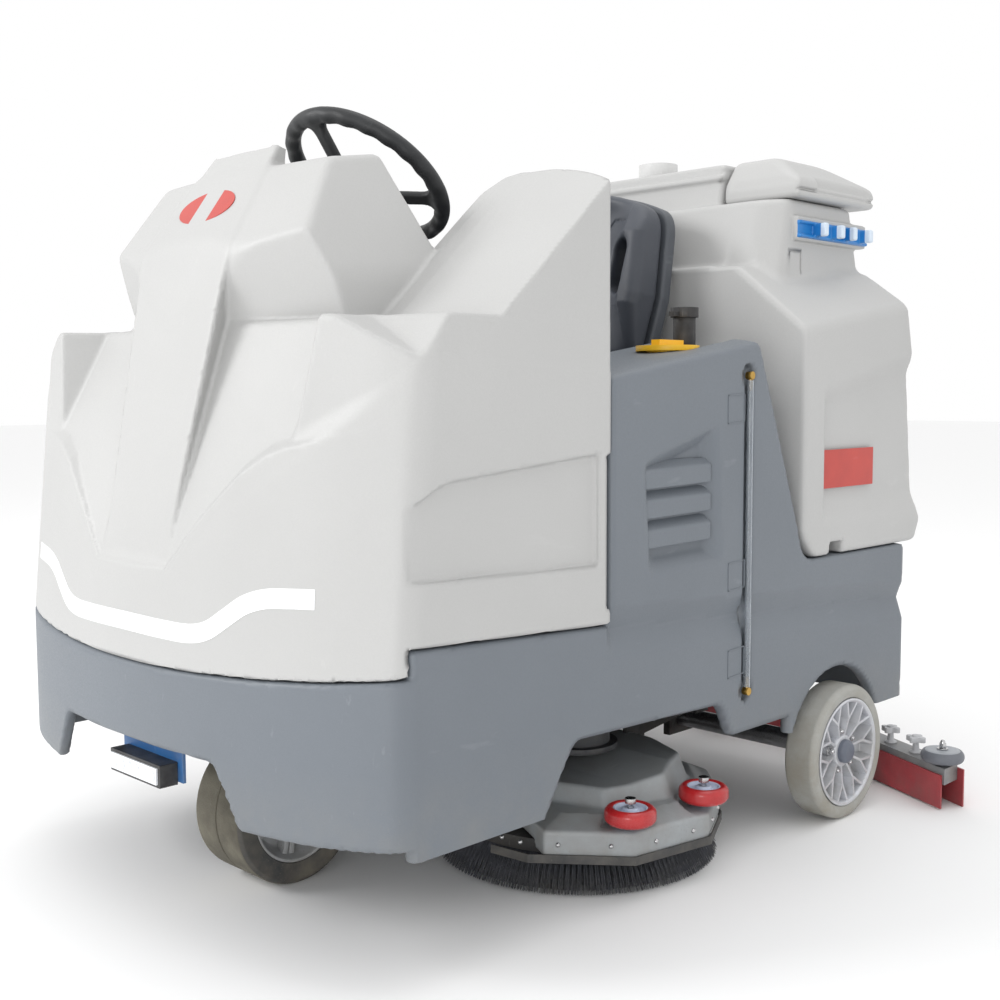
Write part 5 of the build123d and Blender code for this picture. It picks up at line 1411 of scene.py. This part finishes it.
for sign, side in ((1, "left"), (-1, "right")):
    at = (sign * END_X, END_Y, 0.0)
    tyre = lathe("tyre", rounded([(33, 89), (38, 89), (42, 95), (42, 104), (37, 111), (33, 111)], 3), at, "z",
                 72)
    core = lathe("core", rounded([(7, 91), (34, 91), (34, 111.5), (28, 112.5), (12, 112.5), (7, 112.5)], 1.4),
                 at, "z", 60)
    dress(tyre, ROLLER_GREY)
    dress(core, ROLLER_TOP)
    roller = joined("squeegee_roller_" + side + "_tyre", [tyre, core])
    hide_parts("squeegee_roller_" + side)
    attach(roller, "squeegee_roller_" + side)
    nut = joined("end_nut_" + side, hex_bolt("end_nut", (at[0], at[1], 114.5), "z", 13, 18, CHROME))
    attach(nut, "squeegee")


# ------------------------------------------------------------ mop-handle clips
# Blue moulded rail on the tank's shoulder with two sprung clips, pale at their tips.
CLIP_BLUE = finish("clip_blue_plastic", shade(38, 128, 200), shade(28, 112, 184), (0.3, 0.45), patch=16.0,
                   bump=0.0001, coat=0.15)
CLIP_TIP = finish("clip_pale_tip", shade(214, 226, 238), shade(200, 214, 230), (0.3, 0.45), patch=30.0,
                  bump=0.0001)


CLIP_MIDDLES, JAW_REACH = (470, 580), 27
TIP_X = 0.4535


def clip_field(x, y, z):
    """A channelled rail with a back plate and two leaning jaws for each clip."""
    rail = block(x, y, z, 425, 434, 386, 640, 1129, 1161, 2.5)
    rail = smin(rail, block(x, y, z, 425, 440, 386, 640, 1129, 1135, 2), 3)
    rail = smin(rail, block(x, y, z, 425, 440, 386, 640, 1155, 1161, 2), 3)
    for middle in CLIP_MIDDLES:
        for way in (-1, 1):
            jaw_y = middle + way * JAW_REACH
            jaw = block(x, y - (x - 430) * 0.12 * way, z, 428, 466, jaw_y - 7, jaw_y + 7, 1132, 1158, 4)
            rail = smin(rail, jaw, 4)
        back = block(x, y, z, 428, 442, middle - 30, middle + 30, 1132, 1158, 3)
        rail = smin(rail, back, 3)
    return rail


clips = moulding("handle_clip_rail", clip_field, (418, 376, 1120), (474, 650, 1170), 2.5, 4)
dress(clips, CLIP_BLUE, CLIP_TIP)
middles = np.empty(len(clips.data.polygons) * 3)
clips.data.polygons.foreach_get("center", middles)
clips.data.polygons.foreach_set("material_index", (middles.reshape(-1, 3)[:, 0] > TIP_X).astype(np.int32))
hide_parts("handle_clips")
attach(clips, "chassis")


# ------------------------------------------------------------ fittings and hidden parts
# Caps, cup, light, tube, dash, pedal, mat, frame, drive, axle, motor and batteries: turned,
# pressed and moulded parts that keep their exact shape, with softened edges and finishes.
BLACK_PLASTIC = finish("black_moulded_plastic", shade(46, 45, 46), shade(36, 35, 36), (0.42, 0.6), patch=14.0,
                       bump=0.00018, rub=shade(92, 92, 92), scuffs=0.25)
dress_node(BLACK_PLASTIC, "filler_cup", "cup_cap", "work_light_housing", edge=0.0012)
dress_node(finish("dash_plastic", shade(58, 60, 63), shade(50, 51, 54), (0.4, 0.55), patch=20.0,
                  pebble=900.0), "dash_panel", edge=0.0012)
dress_node(finish("yellow_cap_plastic", shade(244, 196, 44), shade(236, 182, 30), (0.32, 0.48), patch=18.0,
                  bump=0.00012, dust=shade(170, 140, 60), dust_top=0.93, scuffs=0.3), "fill_cap", edge=0.0025)
dress_node(finish("red_label_film", shade(190, 48, 32), shade(178, 40, 28), (0.3, 0.42), patch=20.0,
                  fine=1200.0, bump=0.00004, coat=0.3, scuffs=0.15), "body_labels")
dress_node(finish("grey_breather_plastic", shade(218, 218, 217), shade(206, 206, 205), (0.42, 0.56),
                  patch=20.0, fine=700.0), "breather_cap", edge=0.002)
dress_node(finish("brass_elbow", shade(198, 160, 84), shade(168, 130, 60), (0.25, 0.42), patch=40.0,
                  fine=1500.0, bump=0.00008, metal=1.0, streaks=True), "level_elbows", edge=0.0005)
dress_node(finish("clear_tube", shade(208, 214, 220), shade(190, 198, 206), (0.08, 0.2), patch=20.0,
                  bump=0.00005, scuffs=0.2, Transmission_Weight=0.75), "level_tube")
dress_node(finish("light_lens", shade(246, 248, 250), shade(228, 232, 238), (0.06, 0.16), patch=40.0,
                  bump=0.00006, coat=0.6, scuffs=0.15), "work_light_lens")
dress_node(finish("blue_painted_bracket", shade(32, 104, 168), shade(24, 86, 146), (0.35, 0.5), patch=20.0,
                  bump=0.0001, rub=shade(140, 150, 160)), "work_light_bracket", edge=0.001)
dress_node(finish("red_button", shade(200, 30, 26), shade(180, 24, 22), (0.25, 0.4), patch=40.0, bump=0.0001,
                  coat=0.3), "emergency_button", edge=0.001)
dress_node(CHROME, "ignition_key", "deck_screws")
dress_node(finish("ribbed_black_rubber", shade(38, 38, 39), shade(30, 30, 31), (0.6, 0.8), patch=10.0,
                  fine=800.0, bump=0.0004, pebble=260.0, dust=shade(96, 92, 84), dust_top=0.7), "floor_mat",
           "accelerator_pedal", edge=0.001)
dress_node(finish("black_powder_coat", shade(34, 34, 36), shade(26, 26, 28), (0.42, 0.6), patch=8.0,
                  fine=1100.0, bump=0.00018, rub=shade(120, 120, 120), dust=shade(84, 80, 72), dust_top=0.3),
           "chassis_frame", "deck_frame", "deck_arms_lower", "deck_arms_upper", "squeegee_arm", edge=0.0012)
dress_node(finish("dark_cast_paint", shade(66, 68, 72), shade(54, 56, 60), (0.4, 0.58), patch=10.0,
                  bump=0.0003, rub=shade(140, 140, 140), dust=shade(100, 96, 88), dust_top=0.35),
           "steering_fork", "steering_column", "steering_gearbox", "brush_motors", edge=0.0015)
dress_node(finish("machined_steel", shade(176, 176, 178), shade(150, 150, 152), (0.25, 0.42), patch=14.0,
                  fine=1200.0, bump=0.00006, metal=1.0, streaks=True), "rear_axle", "steering_shaft",
           "suction_motor", edge=0.0008)
dress_node(finish("brush_block_plastic", shade(44, 45, 48), shade(36, 37, 40), (0.5, 0.7), patch=14.0,
                  fine=700.0, bump=0.0003, dust=shade(90, 86, 80), dust_top=0.2), "brush_block_left",
           "brush_block_right", edge=0.001)
dress_node(finish("battery_case_plastic", shade(52, 56, 62), shade(44, 47, 52), (0.45, 0.6), patch=10.0,
                  fine=700.0, bump=0.0003), "batteries", edge=0.002)


# ------------------------------------------------------------ stage and light
# Pale seamless floor and soft light from above and both sides.
floor_mesh = bpy.data.meshes.new("floor")
corners = [(-30, -30, 0), (30, -30, 0), (30, 30, 0), (-30, 30, 0)]
floor_mesh.from_pydata(corners, [], [(0, 1, 2, 3)])
floor = placed("floor", floor_mesh)
floor_white = bpy.data.materials.new("floor_white")
floor_white.use_nodes = True
floor_shader = floor_white.node_tree.nodes["Principled BSDF"].inputs
floor_shader["Base Color"].default_value = (0.93, 0.93, 0.93, 1)
floor_shader["Roughness"].default_value = 0.9
floor_mesh.materials.append(floor_white)
world = bpy.data.worlds.new("studio")
bpy.context.scene.world = world
world.use_nodes = True
sky = world.node_tree.nodes["Background"].inputs
sky["Color"].default_value = (1, 1, 1, 1)
sky["Strength"].default_value = 1.0


def softbox(name, place, target, size, power):
    """A square area light of a size in metres and a power in watts, aimed at a point."""
    light = bpy.data.lights.new(name, "AREA")
    light.energy = power
    light.size = size
    lamp = placed(name, light)
    lamp.location = place
    lamp.rotation_euler = (Vector(target) - Vector(place)).to_track_quat("-Z", "Y").to_euler()


softbox("key_light", (-2.6, -4.6, 3.4), (0, 0, 0.7), 2.0, 140)
softbox("fill_light", (2.6, -4.2, 0.75), (0.2, 0, 0.2), 1.4, 34)
softbox("top_light", (0.6, 0.3, 4.6), (0, 0, 0.5), 3.2, 40)
bpy.context.scene.view_settings.view_transform = "Standard"
